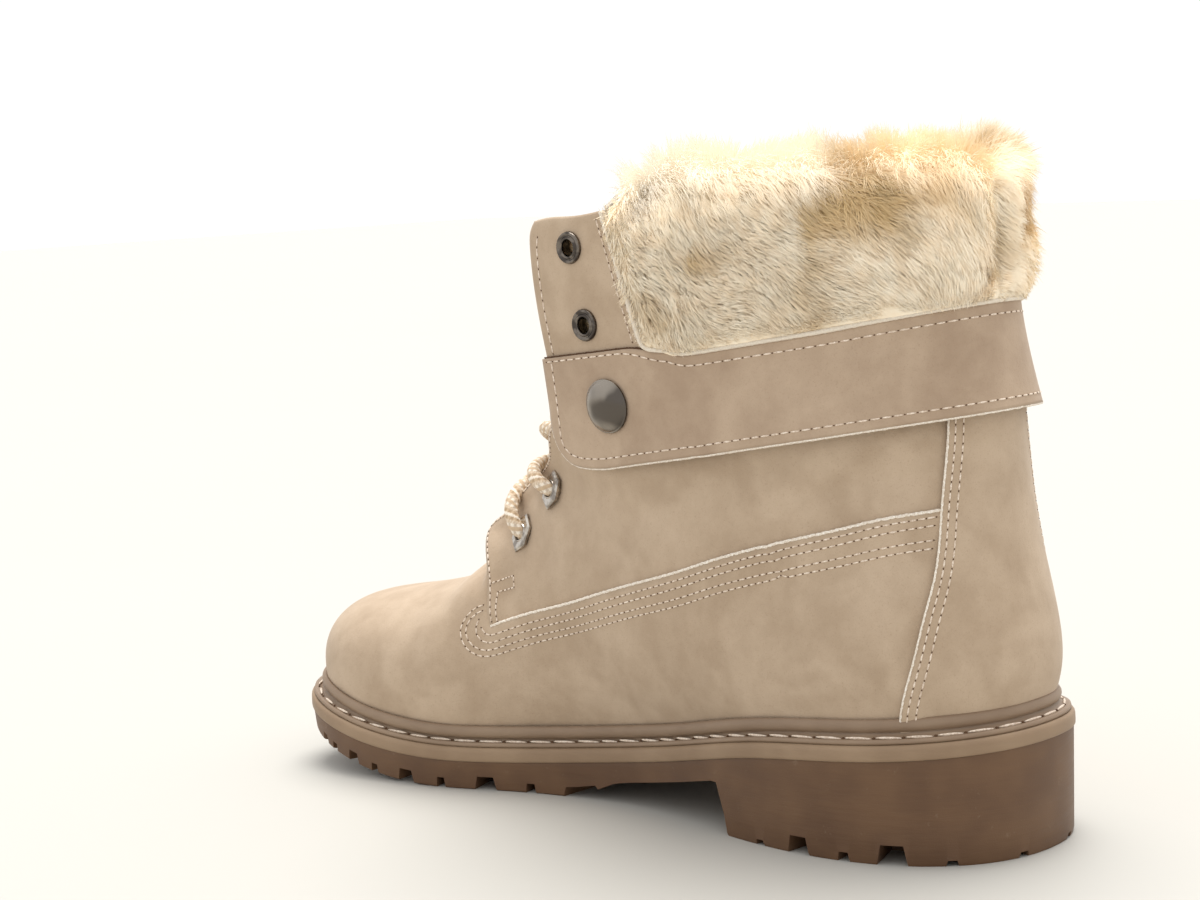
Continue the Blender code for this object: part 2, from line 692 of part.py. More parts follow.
def plate_seat(place):
    """How far out a flat lace plate stands, so that its corners clear the hollow of the instep."""
    x, y, z = seat_axes(place, upright(*place))
    base = skin(*place)
    side = math.copysign(1.0, place[1])
    rise = 0.0
    for u, v in PLATE_OUTLINE:
        corner = base + u * x + v * y
        rise = max(rise, (skin(*locate(corner.x, corner.z, side)) - base).dot(z))
    return rise + 1.5 * GAP


def eyelet_holes():
    """Cutters for the holes that the eyelets line."""
    holes = bpy.data.collections.new("eyelet_holes")
    bpy.data.collections["cutters"].children.link(holes)
    for number, spot in enumerate(ROUND_EYELETS + LACE_EYELETS):
        for side in (1, -1):
            bm = bmesh.new()
            bmesh.ops.create_cone(bm, cap_ends=True, segments=12, radius1=EYELET_HOLE * MM,
                                  radius2=EYELET_HOLE * MM, depth=12.0 * MM)
            name = f"eyelet_hole_{number}_{side + 1}"
            hole = add_object(name, mesh_from(bm, name), collection="cutters")
            seat(hole, locate(*spot, side), 0.0)
            bpy.data.collections["cutters"].objects.unlink(hole)
            holes.objects.link(hole)
    return holes


def turned(name, profile, finish, closed=False):
    """A profile of radius and height, spun round Z."""
    bm = bmesh.new()
    verts = [bm.verts.new((radius * MM, 0.0, height * MM)) for radius, height in profile]
    for a, b in zip(verts, verts[1:] + verts[:1] if closed else verts[1:]):
        bm.edges.new((a, b))
    mesh = bpy.data.meshes.new(name)
    bm.to_mesh(mesh)
    bm.free()
    thing = add_object(name, mesh, finish)
    spin = thing.modifiers.new("spin", "SCREW")
    spin.steps = spin.render_steps = 14
    spin.use_merge_vertices = True
    spin.merge_threshold = 0.00002
    return thing


def hex_eyelet(name, finish):
    """A long pointed plate with a round hole."""
    bm = bmesh.new()
    hole = EYELET_HOLE
    rows = []
    for height in (0.0, PLATE_THICK):
        outer, inner = [], []
        for corner, after in zip(PLATE_OUTLINE, PLATE_OUTLINE[1:] + PLATE_OUTLINE[:1]):
            for share in (0.0, 0.5):
                x = corner[0] + (after[0] - corner[0]) * share
                y = corner[1] + (after[1] - corner[1]) * share
                angle = math.atan2(y, x)
                outer.append(bm.verts.new((x * MM, y * MM, height * MM)))
                inner.append(bm.verts.new((hole * math.cos(angle) * MM, hole * math.sin(angle) * MM,
                                           height * MM)))
        rows.append((outer, inner))
    (low_out, low_in), (high_out, high_in) = rows
    for near, far in ((low_out, high_out), (high_out, high_in), (high_in, low_in), (low_in, low_out)):
        for a, b, c, d in zip(near, near[1:] + near[:1], far[1:] + far[:1], far):
            bm.faces.new((a, b, c, d))
    return add_object(name, mesh_from(bm, name), finish)


def make_hardware(finishes):
    dome = [(0.0, 3.0), (3.0, 2.8), (5.6, 2.1), (7.3, 1.1), (7.9, 0.3), (7.6, 0.0), (0.0, 0.0)]
    ring = [(EYELET_HOLE, 0.2), (2.8, 1.0), (3.7, 1.3), (4.5, 1.0), (4.75, 0.2), (4.75, 0.0),
            (EYELET_HOLE, 0.0)]
    for side, word in ((1, "inner"), (-1, "outer")):
        snap = turned(f"snap_{word}", dome, finishes["gunmetal"])
        seat(snap, locate(*SNAP_PLACE, side), CUFF_OUT + SNAP_FLARE + GAP)
        for number, spot in enumerate(ROUND_EYELETS, 1):
            eyelet = turned(f"round_eyelet_{word}_{number}", ring, finishes["gunmetal"], closed=True)
            seat(eyelet, locate(*spot, side), GAP)
        for number, spot in enumerate(LACE_EYELETS, 1):
            eyelet = hex_eyelet(f"lace_eyelet_{word}_{number}", finishes["gunmetal"])
            place = locate(*spot, side)
            seat(eyelet, place, plate_seat(place), upright(*place))


def smooth_path(points, steps=4):
    """A round curve through a few points."""
    places = range(len(points))
    curves = [spline(places, [point[axis] for point in points]) for axis in range(3)]
    count = (len(points) - 1) * steps
    return [Vector(curve(i / steps) for curve in curves) for i in range(count + 1)]


def tube(name, points, thick, finish):
    """A round solid along a path, as a mesh."""
    path = bpy.data.curves.new(name, "CURVE")
    path.dimensions = "3D"
    path.bevel_depth = thick / 2 * MM
    path.bevel_resolution = 2
    path.use_fill_caps = True
    line = path.splines.new("POLY")
    line.points.add(len(points) - 1)
    for spot, point in zip(line.points, points):
        spot.co = (*to_metres(point), 1.0)
    guide = add_object(name + "_path", path, collection="cutters")
    shape = guide.evaluated_get(bpy.context.evaluated_depsgraph_get())
    bm = bmesh.new()
    bm.from_mesh(bpy.data.meshes.new_from_object(shape))
    bpy.data.objects.remove(guide, do_unlink=True)
    return add_object(name, mesh_from(bm, name), finish)


def strand(low, high, side):
    """One run of the lace: out of the lower eyelet, over the facing, across to the other side."""
    place = locate(*low, side)
    start = place[0]
    rise = locate(*high, -side)[0] - start
    edge, middle, last = (start + share * rise for share in (0.12, 0.55, 0.85))
    half = np.interp(last, *zip(*THROAT)) - 4.0
    lift = plate_seat(place) + PLATE_THICK + 2 * GAP + LACE_THICK / 2
    return [skin(*place, lift),
            skin(edge, throat_turn(edge, side), lift + 0.3),
            skin(middle, side * math.pi, 2.0),
            skin(last, side_turn(last, half, -side), 0.4)]


def make_lace(finish):
    """The crossings between the laced eyelets, two strands joined in each."""
    for number, (low, high) in enumerate(zip(LACE_EYELETS, LACE_EYELETS[1:]), 1):
        one = tube(f"lace_crossing_{number}", smooth_path(strand(low, high, 1)), LACE_THICK, finish)
        other = tube(f"lace_strand_{number}", smooth_path(strand(low, high, -1)), LACE_THICK, finish)
        bpy.data.collections["ankle_boot"].objects.unlink(other)
        bpy.data.collections["cutters"].objects.link(other)
        other.hide_render = True
        other.display_type = "WIRE"
        cut(one, other, "UNION")


def main():
    start_scene()
    finishes = make_materials()
    make_sole(finishes)
    make_upper(finishes["nubuck"])
    make_tongue(finishes["nubuck"])
    make_cuff(finishes["nubuck"])
    make_fur(finishes["fur"])
    make_hardware(finishes)
    make_lace(finishes["lace_cord"])


main()
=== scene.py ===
"""Looks for one right lace-up ankle boot with a turned-down fur cuff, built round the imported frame.

Sizes are in millimetres until a mesh is made. "Along" runs from the back of the heel to the toe,
"across" is plus on the inner side of the foot and "up" is the height over the floor. A place on the
upper is a pair: the station of a fan of cuts through the last, and the turn round that cut.
"""

import math

import bmesh
import bpy
import numpy as np
from mathutils import Matrix, Vector, noise
from mathutils.kdtree import KDTree


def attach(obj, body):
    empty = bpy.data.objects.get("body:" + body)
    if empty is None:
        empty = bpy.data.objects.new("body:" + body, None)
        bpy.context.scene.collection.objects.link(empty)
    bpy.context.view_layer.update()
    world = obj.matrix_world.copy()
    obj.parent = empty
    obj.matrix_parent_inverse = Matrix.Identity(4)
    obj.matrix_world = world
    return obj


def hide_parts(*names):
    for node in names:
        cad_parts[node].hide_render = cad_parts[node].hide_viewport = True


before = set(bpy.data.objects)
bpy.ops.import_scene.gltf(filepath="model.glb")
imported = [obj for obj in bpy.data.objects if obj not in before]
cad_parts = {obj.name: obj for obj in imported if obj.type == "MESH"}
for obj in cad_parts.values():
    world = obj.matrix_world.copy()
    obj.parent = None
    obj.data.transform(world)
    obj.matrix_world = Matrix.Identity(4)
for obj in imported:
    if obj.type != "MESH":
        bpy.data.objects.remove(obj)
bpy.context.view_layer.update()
SEED = 7
rng = np.random.default_rng(SEED)
noise.seed_set(SEED)   # noise_vector would change with the time of day without it

MM = 0.001
HEEL_CENTRE = 42
GAP = 0.35

# --- the last ----------------------------------------------------------------------------------

# front_along, front_up, low_along, low_up, low_across, front_across, inner, outer, widest,
# low_round, front_round
LAST = np.array((
    (269, 36.5, 269, 36.5, 8, 8, 0, 0, 0.45, 2.4, 2.2),
    (267, 43, 267, 29, 7.5, 7.8, 11.5, 11.5, 0.45, 2.4, 2.2),
    (261.5, 48.8, 261.5, 18, 6.5, 7.5, 21.5, 21.5, 0.46, 2.5, 2.2),
    (252, 53.3, 252, 9.5, 4, 7, 30, 30, 0.46, 2.5, 2.2),
    (236, 56.6, 236, 5.5, 0.5, 6, 37.5, 38.5, 0.44, 2.5, 2.1),
    (219, 59.5, 218, 3.5, -2.5, 4.5, 41.5, 43.5, 0.42, 2.5, 2.1),
    (206.5, 63.5, 200, 3, -4.5, 3.5, 42.5, 46.5, 0.41, 2.5, 2.1),
    (201, 69, 183, 3, -6, 2.5, 41, 45.5, 0.42, 2.4, 2.1),
    (196.8, 79, 155, 3, -7.5, 2, 36.5, 42, 0.43, 2.2, 2.1),
    (190.5, 88.3, 113, 5, -7, 1.5, 34, 38, 0.42, 2.1, 2.1),
    (184.5, 94.8, 60, 9, -2, 1.5, 36.5, 37, 0.38, 2.1, 2.1),
    (180.5, 98.6, 20, 18, 2, 1.5, 38.5, 38, 0.32, 2.2, 2.1),
    (178.2, 101.2, 6.9, 35.6, 2.4, 1.5, 38.5, 38, 0.28, 2.3, 2.1),
    (176.5, 103.4, 3.3, 51, 2.2, 1.5, 37.8, 37.5, 0.30, 2.3, 2.15),
    (175, 106, 5.2, 71, 1.8, 1.2, 36.6, 36.6, 0.36, 2.25, 2.3),
    (173.3, 109.5, 8.8, 92, 1.4, 1, 36.2, 36.2, 0.43, 2.2, 2.6),
    (171.3, 117, 12.2, 114, 1, 1, 36.6, 36.6, 0.49, 2.2, 3),
    (169.5, 131, 14.2, 139, 1, 1, 37.5, 37.5, 0.53, 2.25, 3.5),
    (168.5, 151, 15.8, 163, 1, 1, 38.4, 38.4, 0.55, 2.3, 4),
    (169, 176.5, 17, 184, 1, 1, 39, 39, 0.55, 2.3, 4.2),
))
TOP = len(LAST) - 1
LEDGE = ((0, 35.3), (33, 32.8), (73, 29.1), (109, 21.9), (147, 16),
         (185, 13.4), (228, 15.8), (272, 25.2))
# Half the width of the throat between the facings, by station.
THROAT = ((7.1, 14), (8, 14.5), (9.5, 15.6), (11, 14.8), (12, 15.5), (13, 17.2), (14, 20.5),
          (15, 25.6), (15.5, 27.6), (16, 31), (16.5, 34), (17, 35.2), (18, 36), (19, 36.4))


def spline(places, values):
    """A natural cubic through the rows of a table, for one value or a row of them."""
    x, y = np.asarray(places, float), np.asarray(values, float)
    if y.ndim == 1:
        one = spline(x, y[:, None])
        return lambda at: one(at)[..., 0]
    h = np.diff(x)
    system, right = np.eye(len(x)), np.zeros_like(y)
    for i in range(1, len(x) - 1):
        system[i, i - 1:i + 2] = h[i - 1], 2 * (h[i - 1] + h[i]), h[i]
        right[i] = 6 * ((y[i + 1] - y[i]) / h[i] - (y[i] - y[i - 1]) / h[i - 1])
    bend = np.linalg.solve(system, right)

    def value(at):
        at = np.asarray(at, float)
        i = np.clip(np.searchsorted(x, at) - 1, 0, len(x) - 2)
        a, b, step = (x[i + 1] - at)[..., None], (at - x[i])[..., None], h[i][..., None]
        return ((bend[i] * a ** 3 + bend[i + 1] * b ** 3) / (6 * step)
                + (y[i] / step - bend[i] * step / 6) * a
                + (y[i + 1] / step - bend[i + 1] * step / 6) * b)
    return value


def read(table, at):
    """The value of a table of pairs at places between its rows."""
    return np.interp(at, *zip(*table))


def last_spline():
    """The row before the toe mirrors the row after it, so the tip is round."""
    mirrored = LAST[1].copy()
    mirrored[[1, 3]] = LAST[1][[3, 1]]
    mirrored[[6, 7]] *= -1
    return spline(np.arange(len(LAST) + 1) - 1, np.vstack((mirrored, LAST)))


last_at = last_spline()
ledge = spline(*zip(*LEDGE))


def last_point(station, turn):
    """Points of the last. turn is 0 at the low end of a cut, pi at its front, minus on the outer side."""
    station, turn = np.broadcast_arrays(np.asarray(station, float), np.asarray(turn, float))
    (front_along, front_up, low_along, low_up, low_across, front_across, inner, outer, widest,
     low_round, front_round) = np.moveaxis(last_at(station), -1, 0)
    cosine, sine = np.cos(turn), np.sin(turn)
    low = cosine > 0
    power = 2 / np.where(low, low_round, front_round)
    share = widest + np.where(low, -widest, 1 - widest) * np.abs(cosine) ** power
    half = np.where(sine > 0, inner, -outer)
    return np.stack((low_along + (front_along - low_along) * share,
                     low_across + (front_across - low_across) * share + half * np.abs(sine) ** power,
                     low_up + (front_up - low_up) * share), -1)


def unit(vectors):
    return vectors / np.maximum(np.linalg.norm(vectors, axis=-1, keepdims=True), 1e-9)


def outward(station, turn):
    """The way square to the last."""
    station, turn = np.broadcast_arrays(np.asarray(station, float), np.asarray(turn, float))
    step = 0.02
    up = (last_point(np.minimum(station + step, TOP), turn)
          - last_point(np.maximum(station - step, 0.02), turn))
    around = last_point(station, turn + step) - last_point(station, turn - step)
    normal = unit(np.cross(around, up))
    widest = last_at(station)[..., 8:9]
    middle = last_point(station, 0) * (1 - widest) + last_point(station, math.pi) * widest
    inside = np.sum(normal * (last_point(station, turn) - middle), -1, keepdims=True) < 0
    return np.where(inside, -normal, normal)


# Creases of the worn leather: two ends as place along and height, how deep and how wide.
CREASES = (
    ((193, 70), (176, 62), 0.55, 5),
    ((184, 84), (160, 74), 0.5, 6),
    ((150, 96), (118, 92), 0.45, 7),
    ((60, 108), (92, 100), 0.5, 6.5),
    ((30, 104), (52, 100), 0.4, 6),
    ((128, 78), (108, 94), 0.35, 8),
    ((214, 50), (206, 36), 0.35, 6),
)


def relief(points):
    """How far the leather stands out or sinks: slow waves, and the creases."""
    along, across, up = np.moveaxis(points, -1, 0)
    rise = (0.16 * np.sin(along / 11 + up / 17 + across / 30)
            + 0.14 * np.sin(up / 9 - along / 23 + 1.3 + across / 25)
            + 0.10 * np.sin(along / 6.5 - up / 8 + 0.4))
    for (x0, z0), (x1, z1), deep, wide in CREASES:
        share = np.clip(((along - x0) * (x1 - x0) + (up - z0) * (z1 - z0))
                        / ((x1 - x0) ** 2 + (z1 - z0) ** 2), 0, 1)
        away = np.hypot(along - x0 - share * (x1 - x0), up - z0 - share * (z1 - z0))
        rise = rise - deep * np.exp(-(away / wide) ** 2)
        rise = rise + 0.45 * deep * np.exp(-((away - 1.5 * wide) / wide) ** 2)
    return rise


def skin(station, turn, out=0):
    """Points at a distance out from the last, with the leather's relief."""
    point = last_point(station, turn)
    lift = np.asarray(out, float) + relief(point)
    return point + lift[..., None] * outward(station, turn)


def solve(function, low, high, steps=34):
    """Where rising functions cross zero, by halving."""
    low, high = np.array(low, float), np.array(high, float)
    for _ in range(steps):
        middle = (low + high) / 2
        below = function(middle) < 0
        low, high = np.where(below, middle, low), np.where(below, high, middle)
    return (low + high) / 2


def over_ledge(points):
    return points[..., 2] - ledge(points[..., 0])


def foot_turn(station, side, level=GAP):
    """The turn at which cuts of the last reach a height over the ledge."""
    station = np.asarray(station, float)
    zero = np.zeros_like(station)
    return side * solve(lambda turn: over_ledge(last_point(station, side * turn)) - level,
                        zero, zero + math.pi / 2)


def toe_station(level=GAP):
    return float(solve(lambda s: level - over_ledge(last_point(s, 0)), 0.2, 3))


def heel_station(level=GAP):
    return float(solve(lambda s: over_ledge(last_point(s, 0)) - level, 9, 13))


def side_turn(station, half, side):
    """The turn at which a cut, near its front, is a given distance from its middle."""
    row = last_at(station)
    wide = row[..., 6] if side > 0 else row[..., 7]
    power = row[..., 10] / 2
    return side * (math.pi - np.arcsin(np.minimum(1, half / wide) ** power))


def throat_turn(station, side, wider=0):
    return side_turn(station, read(THROAT, station) + wider, side)


def locate(along, up, side):
    """The stations and turns at places seen from one side, as rows of pairs."""
    along, up = np.atleast_1d(along).astype(float), np.atleast_1d(up).astype(float)
    station, turn = np.full(len(along), 11), np.full(len(along), 1.6)
    reach = (8, 1.5)
    for half in (12,) + (5,) * 9:
        grid = np.linspace(-1, 1, 2 * half + 1)
        tries_s = station[:, None] + reach[0] * np.repeat(grid, len(grid))
        tries_t = turn[:, None] + reach[1] * np.tile(grid, len(grid))
        tries_s, tries_t = np.clip(tries_s, 3, TOP), np.clip(tries_t, 0.02, 3.12)
        point = last_point(tries_s, side * tries_t)
        miss = np.hypot(point[..., 0] - along[:, None], point[..., 2] - up[:, None])
        best = miss.argmin(1)
        rows = np.arange(len(along))
        station, turn = tries_s[rows, best], tries_t[rows, best]
        reach = (reach[0] / (half / 2), reach[1] / (half / 2))
    return np.stack((station, side * turn), 1)


def meet(turn, line):
    """The stations where lines of one turn cross a line drawn on the side of the shaft."""
    def over(station):
        point = last_point(station, turn)
        return point[..., 2] - read(line, point[..., 0])
    return solve(over, np.full_like(turn, 11), np.full_like(turn, TOP))


def seat(spot, side):
    """The station and turn of one place seen from one side."""
    return locate(*spot, side)[0]


# --- lines on the upper ------------------------------------------------------------------------

def measure(points):
    """Lengths from the start of a line of points."""
    return np.concatenate(([0], np.cumsum(np.linalg.norm(np.diff(points, axis=0), axis=1))))


def sampled(at, length, rows):
    """Rows between rows: length gives where the known ones lie."""
    return np.stack([np.interp(at, length, column) for column in rows.T], -1)


def on_last(line):
    return last_point(line[..., 0], line[..., 1])


def laid(line, out, more=0):
    """Points over places of the last; out may be a function of the points of the last under them."""
    lift = out(on_last(line)) if callable(out) else out
    return skin(line[..., 0], line[..., 1], lift + more)


def even(line, spacing=None, count=None):
    """A line of places, laid out afresh at even distances on the last."""
    length = measure(on_last(line))
    if count is None:
        count = max(2, int(round(length[-1] / spacing)) + 1)
    return sampled(np.linspace(0, length[-1], count), length, line)


def soften(line, rounds):
    """Round the corners of a line, its ends kept."""
    line = line.copy()
    for _ in range(rounds):
        line[1:-1] = (line[:-2] + 2 * line[1:-1] + line[2:]) / 4
    return line


def drawn(side, spots, spacing=0.8):
    """A smooth line through spots, each a place along and a height, on one side."""
    spots = np.array(spots, float)
    if len(spots) > 2:
        length = measure(spots)
        spots = spline(length, spots)(np.linspace(0, length[-1], 60))
    return even(locate(spots[:, 0], spots[:, 1], side), spacing)


def beside(line, distance):
    """A line moved on the last, to its left seen from outside; minus to its right."""
    distance = np.broadcast_to(np.asarray(distance, float), (len(line),))[:, None]
    steps = int(np.abs(distance).max() / 1.5) + 1
    for _ in range(steps):
        station, turn = line[:, 0], line[:, 1]
        here = last_point(station, turn)
        way = unit(np.gradient(here, axis=0))
        aside = np.cross(outward(station, turn), way) * (distance / steps)
        step = 0.01
        per_station = (last_point(station + step, turn) - last_point(station - step, turn)) / (2 * step)
        per_turn = (last_point(station, turn + step) - last_point(station, turn - step)) / (2 * step)
        a, b, d = (np.sum(per_station * per_station, 1), np.sum(per_station * per_turn, 1),
                   np.sum(per_turn * per_turn, 1))
        e, f = np.sum(per_station * aside, 1), np.sum(per_turn * aside, 1)
        det = a * d - b * b
        line = line + np.stack(((d * e - b * f) / det, (a * f - b * e) / det), 1)
    return line


def joined(*lines):
    return np.vstack(lines)


def rounded(rounds, *lines):
    """Lines joined into one whose corners are rounded."""
    return soften(even(joined(*lines), 0.8), rounds)


def foot_line(stations, side):
    """The line round the foot just over the ledge."""
    return np.stack((stations, foot_turn(stations, side)), 1)


def patch(bottom, top, left, right, relaxed=True):
    """Places between four lines: bottom and top run the same way, so do left and right.

    The lines are blended, then a coarse grid of the places is relaxed so that it has no folds.
    """
    lines = [even(line, count=240) for line in (bottom, top, left, right)]
    at = np.linspace(0, 1, 240)

    def blend(u, v):
        low, high, left, right = (sampled(x, at, line) for line, x in zip(lines, (u, u, v, v)))
        u, v = u[..., None], v[..., None]
        corners = ((1 - u) * (1 - v) * lines[0][0] + u * (1 - v) * lines[0][-1]
                   + (1 - u) * v * lines[1][0] + u * v * lines[1][-1])
        return (1 - v) * low + v * high + (1 - u) * left + u * right - corners
    if not relaxed:
        return blend
    size = 24
    u, v = np.meshgrid(np.linspace(0, 1, size + 1), np.linspace(0, 1, size + 1), indexing="ij")
    grid = blend(u, v)
    number = np.arange((size + 1) ** 2).reshape(size + 1, size + 1)
    system = np.eye(number.size)
    inner = number[1:-1, 1:-1].ravel()
    for way in (number[:-2, 1:-1], number[2:, 1:-1], number[1:-1, :-2], number[1:-1, 2:]):
        system[inner, way.ravel()] = -0.25
    known = grid.reshape(-1, 2).copy()
    known[inner] = 0
    shift = np.linalg.solve(system, known).reshape(grid.shape) - grid

    def place(u, v):
        i, j = (np.clip((x * size).astype(int), 0, size - 1) for x in (u, v))
        a, b = (u * size - i)[..., None], (v * size - j)[..., None]
        moved = ((1 - a) * (1 - b) * shift[i, j] + a * (1 - b) * shift[i + 1, j]
                 + (1 - a) * b * shift[i, j + 1] + a * b * shift[i + 1, j + 1])
        return blend(u, v) + moved
    return place


def ease(value, low, high):
    """0 below low, 1 over high, smooth between."""
    share = np.clip((np.asarray(value, float) - low) / (high - low), 0, 1)
    return share * share * (3 - 2 * share)


# --- meshes ------------------------------------------------------------------------------------
# A function that takes a bmesh in frees it, unless it gives the same one back.

def to_metres(points):
    return (np.asarray(points, float) - (HEEL_CENTRE, 0, 0)) * MM


def in_mm(verts):
    """Where vertices are, in millimetres from the frame's own middle."""
    return np.array([vert.co[:] for vert in verts]) / MM


def formed(across, along, place):
    """A grid of quads; place takes u across and v along, each from 0 to 1, and gives points."""
    bm = bmesh.new()
    bm.loops.layers.uv.new("UVMap")
    bmesh.ops.create_grid(bm, x_segments=across, y_segments=along, size=0.5, calc_uvs=True)
    flat = np.array([vert.co.xy for vert in bm.verts]) + 0.5
    for vert, point in zip(bm.verts, to_metres(place(*flat.T))):
        vert.co = point
    return bm


def meshed(name, bm):
    mesh = bpy.data.meshes.new(name)
    bm.to_mesh(mesh)
    bm.free()
    return mesh


def placed(name, data):
    """A mesh, light or camera as an object of the scene."""
    thing = bpy.data.objects.new(name, data)
    bpy.context.scene.collection.objects.link(thing)
    return thing


def added(bm, *others):
    """Other bmeshes put into the first."""
    for other in others:
        mesh = meshed("part", other)
        bm.from_mesh(mesh)
        bpy.data.meshes.remove(mesh)
    return bm


def welded(bm):
    bmesh.ops.remove_doubles(bm, verts=bm.verts, dist=0.004 * MM)
    bmesh.ops.dissolve_degenerate(bm, dist=0.002 * MM, edges=bm.edges)
    bmesh.ops.recalc_face_normals(bm, faces=bm.faces)
    return bm


def face_away(bm, place):
    """Turn a sheet's faces away from a place."""
    centre = Vector(to_metres(place))
    facing = sum((face.calc_center_median() - centre).normalized().dot(face.normal) * face.calc_area()
                 for face in bm.faces)
    if facing < 0:
        bmesh.ops.reverse_faces(bm, faces=bm.faces)


def piece(name, bm, finish, slot, *nodes, open_from=None, sharp=None, wall=None):
    """The bmesh as a piece of the boot that stands for CAD nodes.

    An open sheet faces away from the place open_from, and wall gives it a thickness inward.
    """
    welded(bm)
    if open_from is not None:
        face_away(bm, open_from)
    mesh = meshed(name, bm)
    mesh.materials.append(finish)
    mesh.shade_smooth()
    if sharp:
        mesh.set_sharp_from_angle(angle=math.radians(sharp))
    thing = placed(name, mesh)
    if wall:
        solid = thing.modifiers.new("wall", "SOLIDIFY")
        solid.thickness, solid.offset = wall * MM, -1
    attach(thing, "root")
    if nodes:
        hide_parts(*nodes)
    return thing


def cut(thing, bm, smooth=False, crossing=False):
    """Take what a bmesh fills away from a piece. Its own shapes may be crossing one another."""
    cutters = placed("cutters", meshed("cutters", bm))
    if smooth:
        cutters.data.shade_smooth()
    boolean = thing.modifiers.new("cut", "BOOLEAN")
    boolean.operation, boolean.solver, boolean.use_self = "DIFFERENCE", "EXACT", crossing
    boolean.object = cutters
    shape = thing.evaluated_get(bpy.context.evaluated_depsgraph_get())
    mesh = bpy.data.meshes.new_from_object(shape)
    thing.modifiers.clear()
    thing.data = mesh
    bpy.data.objects.remove(cutters, do_unlink=True)


def paint_values(thing, **layers):
    """Numbers at each vertex, for a finish to read."""
    for name, values in layers.items():
        layer = thing.data.attributes.new(name, "FLOAT", "POINT")
        layer.data.foreach_set("value", np.full(len(thing.data.vertices), values, np.float32))


def copies(base, matrices):
    """Many copies of one small shape in one bmesh."""
    mesh, bm = meshed("part", base), bmesh.new()
    for matrix in matrices:
        one = mesh.copy()
        one.transform(matrix)
        bm.from_mesh(one)
        bpy.data.meshes.remove(one)
    bpy.data.meshes.remove(mesh)
    return bm


def standing(points, z_ways, x_ways):
    """Matrices that stand a shape at points, its Z one way and its X nearest to another."""
    z = unit(z_ways)
    y = unit(np.cross(z, x_ways))
    made = np.tile(np.eye(4), (len(points), 1, 1))
    made[:, :3, 0], made[:, :3, 1], made[:, :3, 2] = np.cross(y, z), y, z
    made[:, :3, 3] = to_metres(points)
    return [Matrix(one) for one in made]


def tube(points, normals, wide, high, sides, swell):
    """An oval cord along points; swell gives its girth by the angle and the length in millimetres."""
    way = unit(np.gradient(points, axis=0))
    aside = unit(np.cross(unit(normals), way))
    normals = np.cross(way, aside)
    count, length = len(points) - 1, measure(points)

    def place(u, v):
        i = np.rint(v * count).astype(int)
        angle = 2 * math.pi * np.rint(u * sides) / sides
        to_end = np.minimum(length[i], length[-1] - length[i]) / (0.35 * wide)
        size = swell(angle, length[i]) * np.sqrt(np.clip(to_end, 0, 1))
        return (points[i] + aside[i] * (wide / 2 * size * np.cos(angle))[:, None]
                + normals[i] * (high / 2 * size * np.sin(angle))[:, None])
    return formed(sides, count, place)


def nearest(points, targets):
    """For each point the number of the nearest target, and how far off that is."""
    tree = KDTree(len(targets))
    for number, target in enumerate(targets):
        tree.insert(target, number)
    tree.balance()
    found = [tree.find(point) for point in points]
    return np.array([one[1] for one in found]), np.array([one[2] for one in found])


# --- finishes ----------------------------------------------------------------------------------

class Wire:
    """A value in a shader, which adds its Math nodes where it stands in an expression."""

    def __init__(self, paint, socket):
        self.paint, self.socket = paint, socket

    def math(self, operation, *values):
        return self.paint.node("ShaderNodeMath", dict(enumerate(values)), operation=operation)

    def __add__(self, other):
        return self.math("ADD", self, other)

    def __mul__(self, other):
        return self.math("MULTIPLY", self, other)

    def __rsub__(self, other):
        return self.math("SUBTRACT", other, self)

    def ease(self, low, high):
        return self.paint.node("ShaderNodeMapRange", {0: self, 1: low, 2: high},
                               interpolation_type="SMOOTHSTEP")


class Paint:
    """A finish: one Principled shader, and the nodes that vary it over the surface."""

    def __init__(self, name, **constants):
        self.material = bpy.data.materials.new(name)
        self.material.use_nodes = True
        self.tree = self.material.node_tree
        self.shader = self.tree.nodes["Principled BSDF"]
        for key, value in constants.items():
            self.shader.inputs[key.replace("_", " ")].default_value = value
        self.last_bump = None

    def node(self, kind, values, output=0, **settings):
        made = self.tree.nodes.new(kind)
        for key, value in settings.items():
            setattr(made, key, value)
        for key, value in values.items():
            if isinstance(value, Wire):
                self.tree.links.new(value.socket, made.inputs[key])
            else:
                made.inputs[key].default_value = value
        return Wire(self, made.outputs[output])

    def place(self, stretch=None):
        where = self.node("ShaderNodeTexCoord", {}, output="Object")
        return self.node("ShaderNodeMapping", {"Vector": where, "Scale": stretch}) if stretch else where

    def noise(self, size, detail=3, rough=0.55, warp=0, stretch=None):
        """Soft noise whose features are about one size in millimetres."""
        return self.node("ShaderNodeTexNoise", {
            "Vector": self.place(stretch), "Scale": 1 / (size * MM), "Detail": detail,
            "Roughness": rough, "Distortion": warp})

    def value(self, name):
        return self.node("ShaderNodeAttribute", {}, output="Fac", attribute_name=name)

    def mix(self, factor, low, high):
        return self.node("ShaderNodeMix", {0: factor, 6: low, 7: high}, output=2, data_type="RGBA")

    def bump(self, height, deep):
        """Add relief whose height is deep, in millimetres, for a change of 1."""
        values = {"Height": height, "Distance": deep * MM, "Strength": 1}
        if self.last_bump:
            values["Normal"] = self.last_bump
        self.last_bump = self.node("ShaderNodeBump", values)
        self.set(Normal=self.last_bump)

    def set(self, **values):
        for name, value in values.items():
            self.tree.links.new(value.socket, self.shader.inputs[name.replace("_", " ")])


def tint(red, green, blue):
    """A colour as its light: each part from 0 to 255 as seen."""
    parts = [part / 255 for part in (red, green, blue)]
    return (*[part / 12.92 if part <= 0.04045 else ((part + 0.055) / 1.055) ** 2.4 for part in parts], 1)


